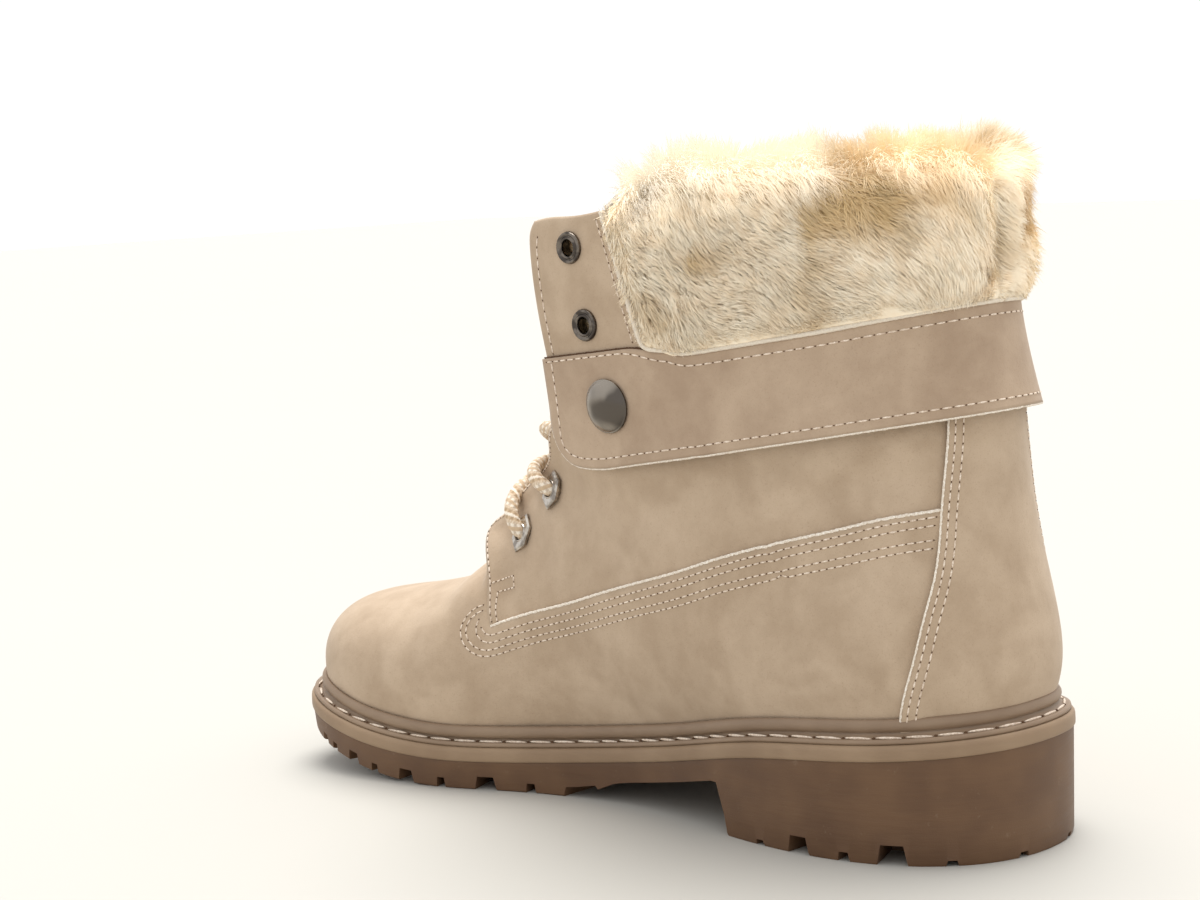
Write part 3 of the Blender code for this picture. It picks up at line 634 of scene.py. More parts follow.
def grained(name, shine, grain, dark, light, rough, deep=None, sharp=None):
    """A finish with one fine noise in its colour, roughness and relief; sharp sets its colours apart."""
    paint = Paint(name, Specular_IOR_Level=shine)
    fibre = paint.noise(*grain)
    paint.set(Base_Color=paint.mix(fibre.ease(*sharp) if sharp else fibre, dark, light),
              Roughness=fibre * rough[0] + rough[1])
    if deep:
        paint.bump(fibre, deep)
    return paint.material


def nubuck_finish(name, dark, light):
    paint = Paint(name, Specular_IOR_Level=0.25, Sheen_Weight=0.12, Sheen_Roughness=0.5)
    clouds = paint.noise(26, 2, 0.6, 0.6)
    patches = paint.noise(8, 3, 0.65)
    nap = paint.noise(2.2, 3, 0.6)
    grain = paint.noise(0.42, 2, 0.6)
    tone = clouds.ease(0.34, 0.68) * 0.55 + patches.ease(0.3, 0.7) * 0.3 + nap * 0.15
    speck = grain.ease(0.56, 0.72) * 0.34
    paint.set(Base_Color=paint.mix(speck, paint.mix(tone, dark, light), tint(150, 124, 102)),
              Roughness=nap * 0.16 + 0.68)
    paint.bump(nap, 0.10)
    paint.bump(grain, 0.06)
    return paint.material


def rubber_finish(name, dark, light, rough, scuff):
    paint = Paint(name, Specular_IOR_Level=0.4)
    broad = paint.noise(22, 2, 0.6)
    streak = paint.noise(1.4, 3, 0.6, stretch=(0.12, 0.12, 1))
    grit = paint.noise(0.35, 2, 0.6)
    tone = broad.ease(0.3, 0.7) * 0.5 + streak * 0.35 + grit * 0.15
    worn = paint.noise(5, 4, 0.75).ease(0.62, 0.78) * scuff
    paint.set(Base_Color=paint.mix(worn, paint.mix(tone, dark, light), tint(196, 178, 154)),
              Roughness=streak * 0.18 + rough)
    paint.bump(streak, 0.10)
    paint.bump(grit, 0.03)
    return paint.material


def metal_finish(name, dark, light, cloud):
    """Polished metal blotched dark and light: a tarnish, and where the blots are large, as on the snap cap,
    painted reflections.
    """
    paint = Paint(name, Specular_IOR_Level=0.5, Metallic=1)
    tarnish_and_reflection, rub = paint.noise(cloud, 2, 0.45), paint.noise(0.7, 3, 0.7)
    paint.set(Base_Color=paint.mix(tarnish_and_reflection.ease(0.4, 0.6), dark, light),
              Roughness=tarnish_and_reflection * 0.14 + rub * 0.08 + 0.14)
    paint.bump(rub, 0.01)
    return paint.material


def fur_finish():
    """Pale pile with painted shade, tan in its hollows, at listed places and at its roots, where the tan is
    partly its own colour; a painted highlight pales its rim.
    """
    paint = Paint("fur", Specular_IOR_Level=0.12)
    locks = paint.noise(5, 2, 0.6)
    # painted shade: the hollow attribute and the roots, with a little random tone per lock
    depth = (paint.value("hollow").ease(0.4, 1) * 0.62 + (1 - paint.value("tip")).ease(0.1, 0.95) * 0.2
             + paint.value("lock") * 0.08)
    pale = paint.mix(locks.ease(0.3, 0.7), tint(248, 232, 206), tint(254, 244, 224))
    shaded = paint.mix(depth.ease(0.05, 0.9), pale, tint(208, 178, 126))
    # the rim colour is a painted highlight
    paint.set(Base_Color=paint.mix(paint.value("rim"), shaded, tint(240, 234, 224)),
              Roughness=locks * 0.2 + 0.6)
    return paint.material


def fleece_finish():
    paint = Paint("fleece", Specular_IOR_Level=0.15, Sheen_Weight=0.3)
    tufts = paint.node("ShaderNodeTexVoronoi", {"Vector": paint.place(), "Scale": 1 / (1.6 * MM)})
    pile = paint.noise(0.8, 3, 0.65)
    paint.set(Base_Color=paint.mix(pile.ease(0.3, 0.7), tint(176, 148, 108), tint(226, 206, 170)),
              Roughness=pile * 0.1 + 0.85)
    paint.bump(tufts, -0.5)
    paint.bump(pile, 0.3)
    return paint.material


def lace_finish():
    """Cream braid with tan flecks, and painted shade between its strands."""
    paint = Paint("lace_cord", Specular_IOR_Level=0.25)
    fibre = paint.noise(0.4, 2, 0.6)
    base = paint.mix(fibre, tint(230, 216, 196), tint(252, 245, 233))
    tan = paint.mix(paint.value("fleck").ease(0.3, 0.6) * 0.75, base, tint(188, 156, 116))
    # painted shade in the grooves between the braid's strands
    between = (1 - paint.value("strand")).ease(0.25, 1) * 0.55
    paint.set(Base_Color=paint.mix(between, tan, tint(150, 122, 92)), Roughness=fibre * 0.1 + 0.78)
    paint.bump(fibre, 0.05)
    return paint.material


NUBUCK = nubuck_finish("nubuck", tint(170, 148, 124), tint(194, 173, 149))
CUFF_NUBUCK = nubuck_finish("nubuck_cuff", tint(162, 139, 117), tint(187, 165, 142))
EDGE = grained("cut_edge", 0.2, (0.5, 3, 0.7), tint(222, 208, 190), tint(252, 246, 236),
               (0.2, 0.72), 0.16, sharp=(0.35, 0.7))
THREAD = grained("thread", 0.3, (0.6, 2, 0.6), tint(206, 186, 166), tint(240, 226, 210),
                 (0.2, 0.55), 0.06, sharp=(0.35, 0.65))
# The needle holes are dark dimples on the surface: painted shade for the holes.
HOLE = grained("needle_hole", 0.1, (0.5, 2, 0.6), tint(70, 49, 36), tint(112, 86, 66), (0.1, 0.85))
LIP = grained("piping", 0.2, (0.5, 2, 0.6), tint(206, 192, 172), tint(244, 236, 222), (0.1, 0.8), 0.08)
OUTSOLE = rubber_finish("outsole_rubber", tint(84, 58, 39), tint(113, 84, 58), 0.42, 0.12)
MIDSOLE = rubber_finish("midsole_rubber", tint(130, 106, 82), tint(158, 134, 108), 0.46, 0.1)
WELT = rubber_finish("welt_rubber", tint(126, 104, 84), tint(152, 130, 108), 0.4, 0.05)
# The snap cap's large dark and light blots are painted reflections.
CAP_METAL = metal_finish("cap_metal", tint(92, 86, 80), tint(152, 144, 134), 13)
RING_METAL = metal_finish("ring_metal", tint(74, 68, 64), tint(118, 110, 102), 3)
PLATE_METAL = metal_finish("plate_metal", tint(140, 132, 124), tint(196, 189, 180), 3)
FUR, FLEECE, LACE = fur_finish(), fleece_finish(), lace_finish()


# --- panels of the upper -----------------------------------------------------------------------

WORDS = {1: "inner", -1: "outer"}
# Drawn lines, seen from the side: the cream cut edge of the lower panel, front corner to back, the
# corner of the quarter over it and the back panel's edge.
CUT_EDGE = ((180.6, 50.8), (166.1, 55.7), (147.3, 60.9), (131.6, 65.6), (117.3, 69.6), (102.3, 73.7),
            (88.9, 78), (73.9, 82.4), (55.4, 87.1), (42.4, 90.2), (32.6, 92.7), (20, 94.8),
            (13.5, 96))
QUARTER_FRONT = ((180.6, 50.8), (181, 53.5), (181.8, 57.3), (183.1, 61.7), (185.7, 67.4), (188.2, 71.6))
BACK_EDGE = ((27.3, 33.6), (25.8, 41.2), (22.2, 54.5), (20.6, 66.3), (19.5, 75.9), (19.3, 86.6),
             (19.6, 94.5), (19.7, 102.7), (19.6, 116.6), (19.8, 128))
FACING_LOW, FACING_TOP = 8.25, 16.8    # stations
VAMP_TOP = 7.85
VAMP_TAB = 8.85
TAB_SINK = 1.4
BEND_SINK = 6        # how far the vamp dips in front of the quarters
EDGE_RISE = 1.25       # how far a panel stands up at its edge
BOOT_MIDDLE = (115, 0, 70)
SHAFT_MIDDLE = (90, 0, 172)
PANEL_THICK = 1.1
LOW_ROWS, HIGH_ROWS = 32, 20
UNDERLAP = 6         # how far a quarter reaches under its neighbours


def near(points, line):
    """Distances of points of the last from a line on it."""
    return nearest(points, on_last(line))[1]


class Side:
    """The lines of one side of the upper, and how far out its panels stand there."""

    def __init__(self, side):
        self.cut, self.back = drawn(side, CUT_EDGE), drawn(side, BACK_EDGE)
        stations = np.linspace(FACING_LOW, FACING_TOP, 60)
        facing = np.stack((stations, throat_turn(stations, side)), 1)
        self.front = rounded(14, drawn(side, QUARTER_FRONT), facing)
        cut_points = on_last(self.cut)
        self.cut_side = cut_points[cut_points[:, 0].argsort()][:, ::2]

    def above(self, points):
        """Heights over the cut edge."""
        return points[:, 2] - read(self.cut_side, points[:, 0])

    def vamp_out(self, points):
        """It stands up along the cut edge and dips before the throat, where the foot bends."""
        rise = ease(-near(points, self.cut), -13, -0.5) * ease(-self.above(points), -1.2, 0)
        rise = rise * ease(-points[:, 0], -183, -176.5) * ease(points[:, 0], 15.5, 18.5)
        away = ease(near(points, self.front), 0.8, 5)
        throat = ease(-np.abs(points[:, 1] - 2), -15.5, -12)
        bend = ease(points[:, 2], 58, 76) * ease(-points[:, 0], -208, -194)
        bend = bend * ease(points[:, 0], 181, 186)
        return 0.1 + EDGE_RISE * rise - BEND_SINK * bend * np.maximum(away, throat)

    def quarter_out(self, points):
        """It stands up along its front and dives under the lower panel."""
        above = self.above(points)
        rise = ease(-near(points, self.front), -6, -0.8) * ease(above, 0, 3.5)
        return 0.15 + EDGE_RISE * rise - 1.8 * ease(-above, 0.3, 3)

    def back_out(self, points):
        return 0.9 + 1.2 * ease(-near(points, self.back), -9, -0.5)


SIDES = {side: Side(side) for side in WORDS}


def sheet(across, along, bounds, out, relaxed=True):
    """A sheet of leather between four lines: bottom, top, left and right."""
    where_at = patch(*bounds, relaxed=relaxed)
    return formed(across, along, lambda u, v: laid(where_at(u, v), out))


def make_vamp():
    """The toe, a tab on under the quarters, and both lower panels, welded into one sheet."""
    heel, low = heel_station(), LOW_ROWS / (LOW_ROWS + HIGH_ROWS)
    halves = []
    for side, lines in SIDES.items():
        corner, corner_turn = lines.cut[0]
        corner_foot = foot_turn(corner, side)
        share = float((corner_turn - corner_foot) / (side * math.pi - corner_foot))
        at, cut_edge = np.linspace(0, 1, 400), even(lines.cut, count=400)

        def toe(u, v):
            height = np.interp(v, (0, low, 1), (0, share, 1))
            end = np.interp(v, (low, low + 0.04, low + 0.12, 0.8, 0.92, 1),
                            (corner, corner + 0.32, VAMP_TAB, VAMP_TAB, VAMP_TOP, VAMP_TOP))
            station = np.interp(u, (0, 0.75), (0, corner - 0.9))
            station = station + (end - corner + 0.9) * np.clip((u - 0.75) / 0.25, 0, 1)
            foot = foot_turn(station, side)
            turn = foot + (side * math.pi - foot) * height
            tab = np.clip((v - low) / 0.04, 0, 1) * ease(station, corner + 0.2, corner + 0.55)
            out = lines.vamp_out(last_point(station, turn)) * (1 - tab) - TAB_SINK * tab
            return skin(station, turn, out)

        def panel(u, v):
            foot = foot_line(corner + (heel - corner) * u, side)
            return laid(foot * (1 - v[:, None]) + sampled(u, at, cut_edge) * v[:, None], lines.vamp_out)
        halves += [formed(110, LOW_ROWS + HIGH_ROWS, toe), formed(130, LOW_ROWS, panel)]
    piece("vamp", added(*halves), NUBUCK, "nubuck", "upper", open_from=BOOT_MIDDLE, wall=PANEL_THICK)


def make_quarters():
    for side, lines in SIDES.items():
        bottom, behind = beside(lines.cut, -side * UNDERLAP), beside(lines.back, -side * UNDERLAP)
        behind_points = on_last(behind)
        end = np.abs(behind_points[:, 2] - 92).argmin()
        right = behind[end:]
        bottom = joined(bottom[on_last(bottom)[:, 0] > behind_points[end, 0] + 2], right[:1])
        left = joined(bottom[:1], lines.front)
        top = even(np.array((left[-1], right[-1])), count=60)
        quarter = piece(f"quarter_{WORDS[side]}",
                        sheet(120, 80, (bottom, top, left, right), lines.quarter_out),
                        NUBUCK, "nubuck", "upper", open_from=BOOT_MIDDLE, wall=PANEL_THICK)
        drill(quarter, LACE_EYELETS, side)


def make_back_panel():
    inner, outer = SIDES[1].back.copy(), SIDES[-1].back.copy()
    stations = np.linspace(min(inner[0, 0], outer[0, 0]), heel_station() - 0.0005, 60)
    foot = joined(foot_line(stations, 1), foot_line(stations[::-1], -1))
    inner[0], outer[0] = foot[0], foot[-1]
    top = joined(inner[-1:], np.array(((inner[-1, 0], 0),)), outer[-1:])

    def out(points):
        return np.maximum(SIDES[1].back_out(points), SIDES[-1].back_out(points))
    piece("back_panel", sheet(90, 90, (foot, top, inner, outer), out), NUBUCK, "nubuck", "upper",
          open_from=BOOT_MIDDLE, wall=PANEL_THICK)


# --- cuff, flaps, lining and tongue ------------------------------------------------------------

CUFF_TOP = ((12, 150), (49, 143.3), (84, 138.2), (95, 136.8), (106, 139.6), (150, 135))
CUFF_LOW = ((12, 121), (50, 114.9), (86, 109.3), (123, 104.2), (132, 104), (137.5, 104.8),
            (141.5, 106.6), (144.2, 109))
CUFF_FRONT = ((144.2, 108.6), (146.2, 112.8), (146.6, 119.5), (147, 127), (147.7, 135.2))
CUFF_CORNER = ((144.2, 108.6), (140.6, 105.6), (134.5, 104.1), (123, 104.2))
CUFF_OUT = 3.3
CUFF_FLARE = (0.6, 3)        # how much further out its lower edge is, in front and behind
CUFF_THICK = 1.7
FLAP_FRONT = ((147.7, 135.2), (149.6, 147), (150.7, 159), (150.8, 168), (150, 172.6), (147.6, 175.6))
FLAP_TOP = ((147.6, 175.6), (143, 176.4), (131, 176.9), (119.2, 178.4))
FLAP_BACK = ((106.8, 139.4), (110.5, 151.5), (115, 165.5), (119.2, 178.4))
FLAP_OUT = 2
FLAP_THICK = 2.2
LINING_THICK = 1.6
TONGUE_THICK = 3
TONGUE_FOOT = 7.3              # station
TONGUE_HALF = ((7.3, 15), (8, 18.5), (10, 22), (15, 24.5), (19, 23))
TONGUE_SINK = ((7.3, 9.4), (8, 9.2), (9, 8.6), (14, 8.6), (16, 8.4), (19, 8))


def level_line(side, line, start, count):
    """A line of the cuff by its heights, from a turn round to the middle of the back."""
    turns = side * np.linspace(abs(start), 0, count)
    return np.stack((meet(turns, line), turns), 1)


class CuffSide:
    """The cuff's and the flap's outlines on one side, each from the front."""

    def __init__(self, side):
        self.front = drawn(side, CUFF_FRONT)
        corner = drawn(side, CUFF_CORNER)
        self.low = joined(corner, level_line(side, CUFF_LOW, corner[-1, 1], 120)[1:])
        self.top = soften(level_line(side, CUFF_TOP, self.front[-1, 1], 160), 6)
        self.front[-1] = self.top[0]
        seam_end = np.abs(on_last(self.top)[:, 0] - FLAP_BACK[0][0]).argmin()
        self.seam = self.top[:seam_end + 1]
        self.fur_line = self.top[seam_end:]
        self.flap_front = joined(self.seam[:1], drawn(side, FLAP_FRONT)[2:])
        self.flap_back = joined(self.seam[-1:], drawn(side, FLAP_BACK)[2:])
        self.flap_top = joined(self.flap_front[-1:], drawn(side, FLAP_TOP)[1:-1], self.flap_back[-1:])


CUFF_SIDES = {side: CuffSide(side) for side in WORDS}


def cuff_out(points):
    """The cuff stands out more towards its lower edge and towards the back."""
    along, across, up = points[..., 0], points[..., 1], points[..., 2]
    low, high = read(CUFF_LOW, along), read(CUFF_TOP, along)
    share = np.clip((up - low) / (high - low), 0, 1)
    back = 1 - ease(along, 15, 140)
    flare = CUFF_FLARE[0] + (CUFF_FLARE[1] - CUFF_FLARE[0]) * back
    wave = 0.35 * np.sin(along / 9 + across / 14) * (1 - share)
    return CUFF_OUT + flare * (1 - share) ** 1.5 + wave * back


def make_cuff():
    halves = []
    for lines in CUFF_SIDES.values():
        behind = np.stack((np.linspace(lines.low[-1, 0], lines.top[-1, 0], 40), np.zeros(40)), 1)
        halves.append(sheet(136, 32, (lines.low, lines.top, lines.front, behind), cuff_out, relaxed=False))
    piece("cuff", added(*halves), CUFF_NUBUCK, "nubuck", "cuff_band", open_from=(90, 0, 125),
          wall=CUFF_THICK)


def make_flaps():
    for side, lines in CUFF_SIDES.items():
        where_at = patch(lines.seam, lines.flap_top, lines.flap_front, lines.flap_back)

        def place(u, v):
            """The front and top edges are rolled in a little."""
            edge = np.minimum(u * 3, (1 - v) * 3).clip(0, 0.15) / 0.15
            return laid(where_at(u, v), FLAP_OUT - 0.5 * (1 - edge) ** 2)
        flap = piece(f"flap_{WORDS[side]}", formed(60, 60, place), NUBUCK, "nubuck", "upper",
                     open_from=(120, 0, 155), wall=FLAP_THICK)
        drill(flap, ROUND_EYELETS, side)


def make_lining():
    """Pile inside the shaft and the quarters, from one facing round the back to the other."""
    start, end = 8.4, TOP - 0.2
    halves = []
    for side in WORDS:
        def place(u, v):
            station = start + (end - start) * v
            foot = foot_turn(station, side)
            turn = foot + (throat_turn(station, side, 0.6) - foot) * u
            return skin(station, turn, -1.15 - 0.3 * ease(station, 15.5, 17))
        halves.append(formed(56, 60, place))
    piece("lining", added(*halves), FLEECE, "lining", "upper", open_from=BOOT_MIDDLE, wall=LINING_THICK)


def make_tongue():
    def place(u, v):
        """Padded in the middle, slightly ribbed, with rounded upper corners."""
        station = TONGUE_FOOT + (TOP - 0.12 - TONGUE_FOOT) * v
        across = 2 * u - 1
        half = read(TONGUE_HALF, station) * np.abs(across)
        turn = np.where(across >= 0, side_turn(station, half, 1), side_turn(station, half, -1))
        puff = 1.3 * (1 - np.abs(across) ** 4) * ease(station, 8.2, 10.5)
        ribs = 0.35 * np.sin(station * 5.2) * (1 - across ** 2) * ease(station, 9, 11)
        corner = 0.35 * ease(v, 0.93, 1) * np.abs(across) ** 3
        return skin(station - corner * 0.9, turn, -read(TONGUE_SINK, station) + puff + ribs)
    piece("tongue_pad", formed(44, 96, place), NUBUCK, "nubuck", "tongue", open_from=BOOT_MIDDLE,
          wall=TONGUE_THICK)


# --- cords along edges, and stitches -----------------------------------------------------------

def edge_cord(line, out, more, wide, high, fuzz=0.12):
    """A strip of raw edge or piping along a line on the upper."""
    line = even(line, 0.7)
    seed = rng.uniform(0, 100, 4)

    def swell(angle, length):
        return 1 + fuzz * (np.sin(length * 2.9 + seed[0] + angle) * np.sin(length * 1.3 + seed[1])
                           + 0.6 * np.sin(length * 5.7 + 3 * angle + seed[2]))
    return tube(laid(line, out, more), outward(line[:, 0], line[:, 1]), wide, high, 8, swell)


def make_raw_edges():
    cords = []
    for side, lines in SIDES.items():
        cords += [edge_cord(beside(lines.cut[:-8], side * 0.1), lines.vamp_out, -0.42, 1, 1.3, 0.2),
                  edge_cord(beside(lines.back[5:], side * 0.1), lines.back_out, -0.5, 0.8, 1.2)]
    for side, lines in CUFF_SIDES.items():
        low = joined(lines.front[::-1][20:-1], lines.low)
        cords.append(edge_cord(beside(low, -side * 0.15), cuff_out, -0.85, 0.9, 1.7, 0.16))
    piece("raw_edges", added(*cords), EDGE, "cut_edge")


def make_piping():
    """Piping along the fur, up the back of each flap and round the cuff."""
    cords = []
    for side, lines in CUFF_SIDES.items():
        line = rounded(8, lines.flap_back[::-1], lines.fur_line[1:])
        cords.append(edge_cord(beside(line, side * 0.5), 3, 0, 1.5, 2.2, 0.08))
    piece("fur_piping", added(*cords), LIP, "fur")


def make_seams():
    """The seam between each flap and the cuff: a dark cord, painted shade for its fold."""
    cords = [edge_cord(beside(lines.seam, side * 0.15), 2.5, 0, 0.55, 0.9, 0.35)
             for side, lines in CUFF_SIDES.items()]
    piece("flap_seams", added(*cords), HOLE, "thread")


class Thread:
    """Gathers the stitches of many rows, then makes them as two pieces: thread and needle holes."""

    def __init__(self):
        self.stitches, self.holes = [], []

    def row(self, points, normals, pitch, thick=0.55, cover=0.8, hole=0.28):
        """Stitches along points on the surface; holes lie between them."""
        length = measure(points)
        count = max(1, int(round(length[-1] / pitch)))
        at = np.linspace(0, length[-1], count + 1)
        at[1:-1] += rng.normal(0, 0.05 * pitch, count - 1)
        spots, ways = sampled(at, length, points), unit(sampled(at, length, unit(normals)))
        middle, along = (spots[1:] + spots[:-1]) / 2, spots[1:] - spots[:-1]
        size = np.linalg.norm(along, axis=1) * cover
        for matrix, long in zip(standing(middle, unit(ways[1:] + ways[:-1]), along), size):
            scale = Matrix.Diagonal((long / 2 * MM, thick / 2 * MM, thick / 2 * 0.9 * MM, 1))
            self.stitches.append(matrix @ scale)
        # Each hole is a flat dark dimple, painted shade for the hole.
        for matrix in standing(spots, ways, joined(along, along[-1:])):
            self.holes.append(matrix @ Matrix.Diagonal((hole * MM, hole * 0.85 * MM, 0.12 * MM, 1)))

    def sew(self, line, out, pitch, **style):
        line = even(line, 0.5)
        self.row(laid(line, out, 0.06), outward(line[:, 0], line[:, 1]), pitch, **style)

    def finish(self, name):
        capsule, dimple = bmesh.new(), bmesh.new()
        for bm, rings in ((capsule, 5), (dimple, 3)):
            bmesh.ops.create_uvsphere(bm, u_segments=6, v_segments=rings, radius=1)
        bmesh.ops.rotate(capsule, verts=capsule.verts, matrix=Matrix.Rotation(math.pi / 2, 3, "Y"))
        piece(f"{name}_thread", copies(capsule, self.stitches), THREAD, "thread")
        piece(f"{name}_needle_holes", copies(dimple, self.holes), HOLE, "thread")


# Each of the four rows: its distance below the cut edge at the back and at the front, and its hook
# round the front corner: the angle over level at which it ends, and its reach there and straight ahead.
PANEL_ROWS = ((1.4, 2.8, -5, 3.2, 3.3), (3.6, 4.9, 25, 5, 5.8), (7.6, 6.9, 52, 6, 9.4),
              (9.8, 8.8, 60, 7.4, 11.2))
# The second row up the quarter's front edge, and the small flag-shaped tack that ends it.
SECOND_ROW = ((177.9, 52.6), (178.9, 57.4), (179.4, 61.4))
BARTACK = ((179.4, 61.4), (173.5, 63.2), (174.1, 66.6), (178, 65.5), (182.4, 63.6))
HOOK_START = -98     # the angle at which a hook leaves its row


def side_stitches(thread):
    corner_along, corner_up = CUT_EDGE[0]
    for side, lines in SIDES.items():
        for rear, fore, angle, end, ahead in PANEL_ROWS:
            row = beside(lines.cut, -side * np.linspace(fore, rear, len(lines.cut)))
            angles = np.radians(np.linspace(angle, HOOK_START, 24))
            size = np.interp(angles, np.radians((HOOK_START, -45, -5, max(angle, 0))),
                             (fore, 0.45 * fore + 0.55 * ahead, ahead, end))
            hook = locate(corner_along + size * np.cos(angles), corner_up + size * np.sin(angles), side)
            row_along = on_last(row)[:, 0]
            row = row[(row_along > 20.6) & (row_along < corner_along - 1.5)]
            thread.sew(rounded(12, hook, row), lines.vamp_out, 2.5)
        thread.sew(beside(lines.front[2:], -side * 1), lines.quarter_out, 2.3)
        thread.sew(drawn(side, SECOND_ROW), lines.quarter_out, 2.1)
        for ends in zip(BARTACK, BARTACK[1:]):
            thread.sew(drawn(side, ends), lines.quarter_out, 1.5, hole=0.24)
        for away in (1.6, 3.8):
            thread.sew(beside(lines.back, -side * away)[7:], lines.back_out, 2.6)


def cuff_stitches(thread):
    for side, lines in CUFF_SIDES.items():
        low = rounded(10, lines.front[::-1], lines.low[1:])
        low_points = on_last(low)
        inwards = 2.8 + 1.5 * ease(low_points[:, 2], 108, 116) * ease(low_points[:, 0], 135, 143)
        thread.sew(beside(low, side * inwards)[1:], cuff_out, 3.3)
        under = 1.1 + 2 * (1 - ease(on_last(lines.top)[:, 0], 98, 109))
        thread.sew(soften(beside(lines.top, -side * under), 6)[3:], cuff_out, 3.3)
        thread.sew(beside(rounded(4, lines.flap_front), -side * 4.2)[1:-4], FLAP_OUT, 3.3)
        for away in (1.6, 3.4):
            thread.sew(beside(lines.flap_back, side * away)[2:-2], FLAP_OUT, 2.6)


# --- hardware ----------------------------------------------------------------------------------

SNAP_PLACE = (120.8, 122.4)
SNAP_OUT = CUFF_OUT + 0.75
ROUND_EYELETS = ((132.8, 167.8), (128.2, 145.5))
LACE_EYELETS = ((173.1, 79.4), (159, 93.2), (142.3, 113))
PLATE_LEANS = (-0.15, 0.06, 0)
# The lace between two eyelets: how far it stands out past the lower one, over the facing's edge, and
# where it crosses, for the end on top and the one beneath; then the share of the way up at which it
# dives under the other facing, how far out it is there and how far in front of that edge.
LACE_RUNS = ((4.1, 2.9, -3, -7, 0.74, -6, 3.6), (4.9, 3.9, -2.8, -6.8, 0.93, -1.3, 7.4))
EYELET_HOLE = 2.4
PLATE_OUTLINE = ((0, 6.2), (3.9, 3), (3.9, -3), (0, -6.2), (-3.9, -3), (-3.9, 3))
# Radius and height of turned parts.
SNAP_PROFILE = ((0, 3.05), (1.6, 3), (3.2, 2.82), (4.8, 2.45), (6.1, 1.9), (7, 1.3), (7.45, 0.85),
                (7.62, 0.62), (7.8, 0.62), (7.95, 0.45), (8, 0.2), (7.9, -0.1), (7.4, -0.3), (0, -0.3))
EYELET_PROFILE = ((2.35, -2.6), (2.35, 0.3), (2.42, 0.75), (2.62, 1.1), (2.9, 1.2), (3.12, 1.08),
                  (3.25, 0.8), (3.42, 0.68), (3.62, 0.74), (3.85, 1.02), (4.15, 1.12), (4.45, 0.95),
                  (4.68, 0.5), (4.75, 0.05), (4.6, -0.15), (2.75, -0.2), (2.7, -2.6), (2.35, -2.6))
UPRIGHT = (0, 0, 1)


def seat_axes(place, up_way=UPRIGHT):
    z = outward(*place)
    x = unit(np.cross(up_way, z))
    return x, np.cross(z, x), z


def seat_matrix(place, out, up_way=UPRIGHT):
    """Stands a piece on the upper with its Z outward and its Y nearest to up_way."""
    made = np.eye(4)
    made[:3, 0], made[:3, 1], made[:3, 2] = seat_axes(place, up_way)
    made[:3, 3] = to_metres(skin(*place, out))
    return Matrix(made)


def plate_seat(place):
    """How far out a flat lace plate stands, so that its corners clear the hollow of the instep."""
    x, y, z = seat_axes(place)
    base = skin(*place)
    corners = np.array([base + u * x + v * y for u, v in PLATE_OUTLINE])
    feet = locate(corners[:, 0], corners[:, 2], math.copysign(1, place[1]))
    return max(float(np.max((laid(feet, 0) - base) @ z)), 0) + 0.25


def drill(thing, spots, side):
    """Cut the holes for eyelets."""
    cutters = bmesh.new()
    radius = (EYELET_HOLE + 0.15) * MM
    for spot in spots:
        cone = bmesh.new()
        bmesh.ops.create_cone(cone, cap_ends=True, segments=28, radius1=radius, radius2=radius,
                              depth=14 * MM)
        cone.transform(seat_matrix(seat(spot, side), 0))
        added(cutters, cone)
    cut(thing, cutters)


def spun(profile, steps=48):
    """A closed profile of radius and height, spun round Z."""
    bm = bmesh.new()
    verts = [bm.verts.new((radius * MM, 0, height * MM)) for radius, height in profile]
    edges = [bm.edges.new(pair) for pair in zip(verts, verts[1:])]
    bmesh.ops.spin(bm, geom=verts + edges, cent=(0, 0, 0), axis=(0, 0, 1), angle=2 * math.pi,
                   steps=steps, use_merge=True)
    bmesh.ops.remove_doubles(bm, verts=bm.verts, dist=0.003 * MM)
    return bm


def hex_plate():
    """A long pointed plate with bevelled edges and a round hole with a turned lip."""
    bm = bmesh.new()
    outline = sampled(np.arange(24) / 4, range(7), np.array(PLATE_OUTLINE + PLATE_OUTLINE[:1]))
    angles = np.arctan2(outline[:, 1], outline[:, 0])
    hole = EYELET_HOLE * np.stack((np.cos(angles), np.sin(angles)), 1)
    rings = [(hole + (outline - hole) * share, height)
             for share, height in ((1, -0.1), (1, 0.55), (0.82, 1.05), (0.5, 1.12))]
    rings += [(hole * grown, height) for grown, height in (
        (1.22, 1.15), (1.14, 1.42), (1.03, 1.3), (0.98, 0.9), (0.98, -2.2), (1.12, -2.2))]
    loops = []
    for ring, height in rings:
        verts = [bm.verts.new((x * MM, y * MM, height * MM)) for x, y in ring]
        loops.append([bm.edges.new(pair) for pair in zip(verts, verts[1:] + verts[:1])])
    for near_loop, far_loop in zip(loops, loops[1:] + loops[:1]):
        bmesh.ops.bridge_loops(bm, edges=near_loop + far_loop)
    return bm


def make_hardware():
    for side, word in WORDS.items():
        def stand(name, node, bm, place, out, finish, up=UPRIGHT, sharp=None):
            bm.transform(seat_matrix(place, out, up))
            piece(name, bm, finish, "gunmetal", node, sharp=sharp)
        stand(f"snap_cap_{word}", f"snap_{word}", spun(SNAP_PROFILE, 64), seat(SNAP_PLACE, side),
              SNAP_OUT, CAP_METAL)
        for number, spot in enumerate(ROUND_EYELETS, 1):
            stand(f"eyelet_ring_{word}_{number}", f"round_eyelet_{word}_{number}", spun(EYELET_PROFILE),
                  seat(spot, side), FLAP_OUT + 0.1, RING_METAL)
        for number, spot in enumerate(LACE_EYELETS, 1):
            place = seat(spot, side)
            stand(f"lace_plate_{word}_{number}", f"lace_eyelet_{word}_{number}", hex_plate(), place,
                  plate_seat(place), PLATE_METAL, (PLATE_LEANS[number - 1], 0, 1), sharp=28)


# --- lace --------------------------------------------------------------------------------------

LACE_THICK = 4.5
BRAID_TURN = 9       # the length in which a strand goes once round
UNDER_FACING = -5.2


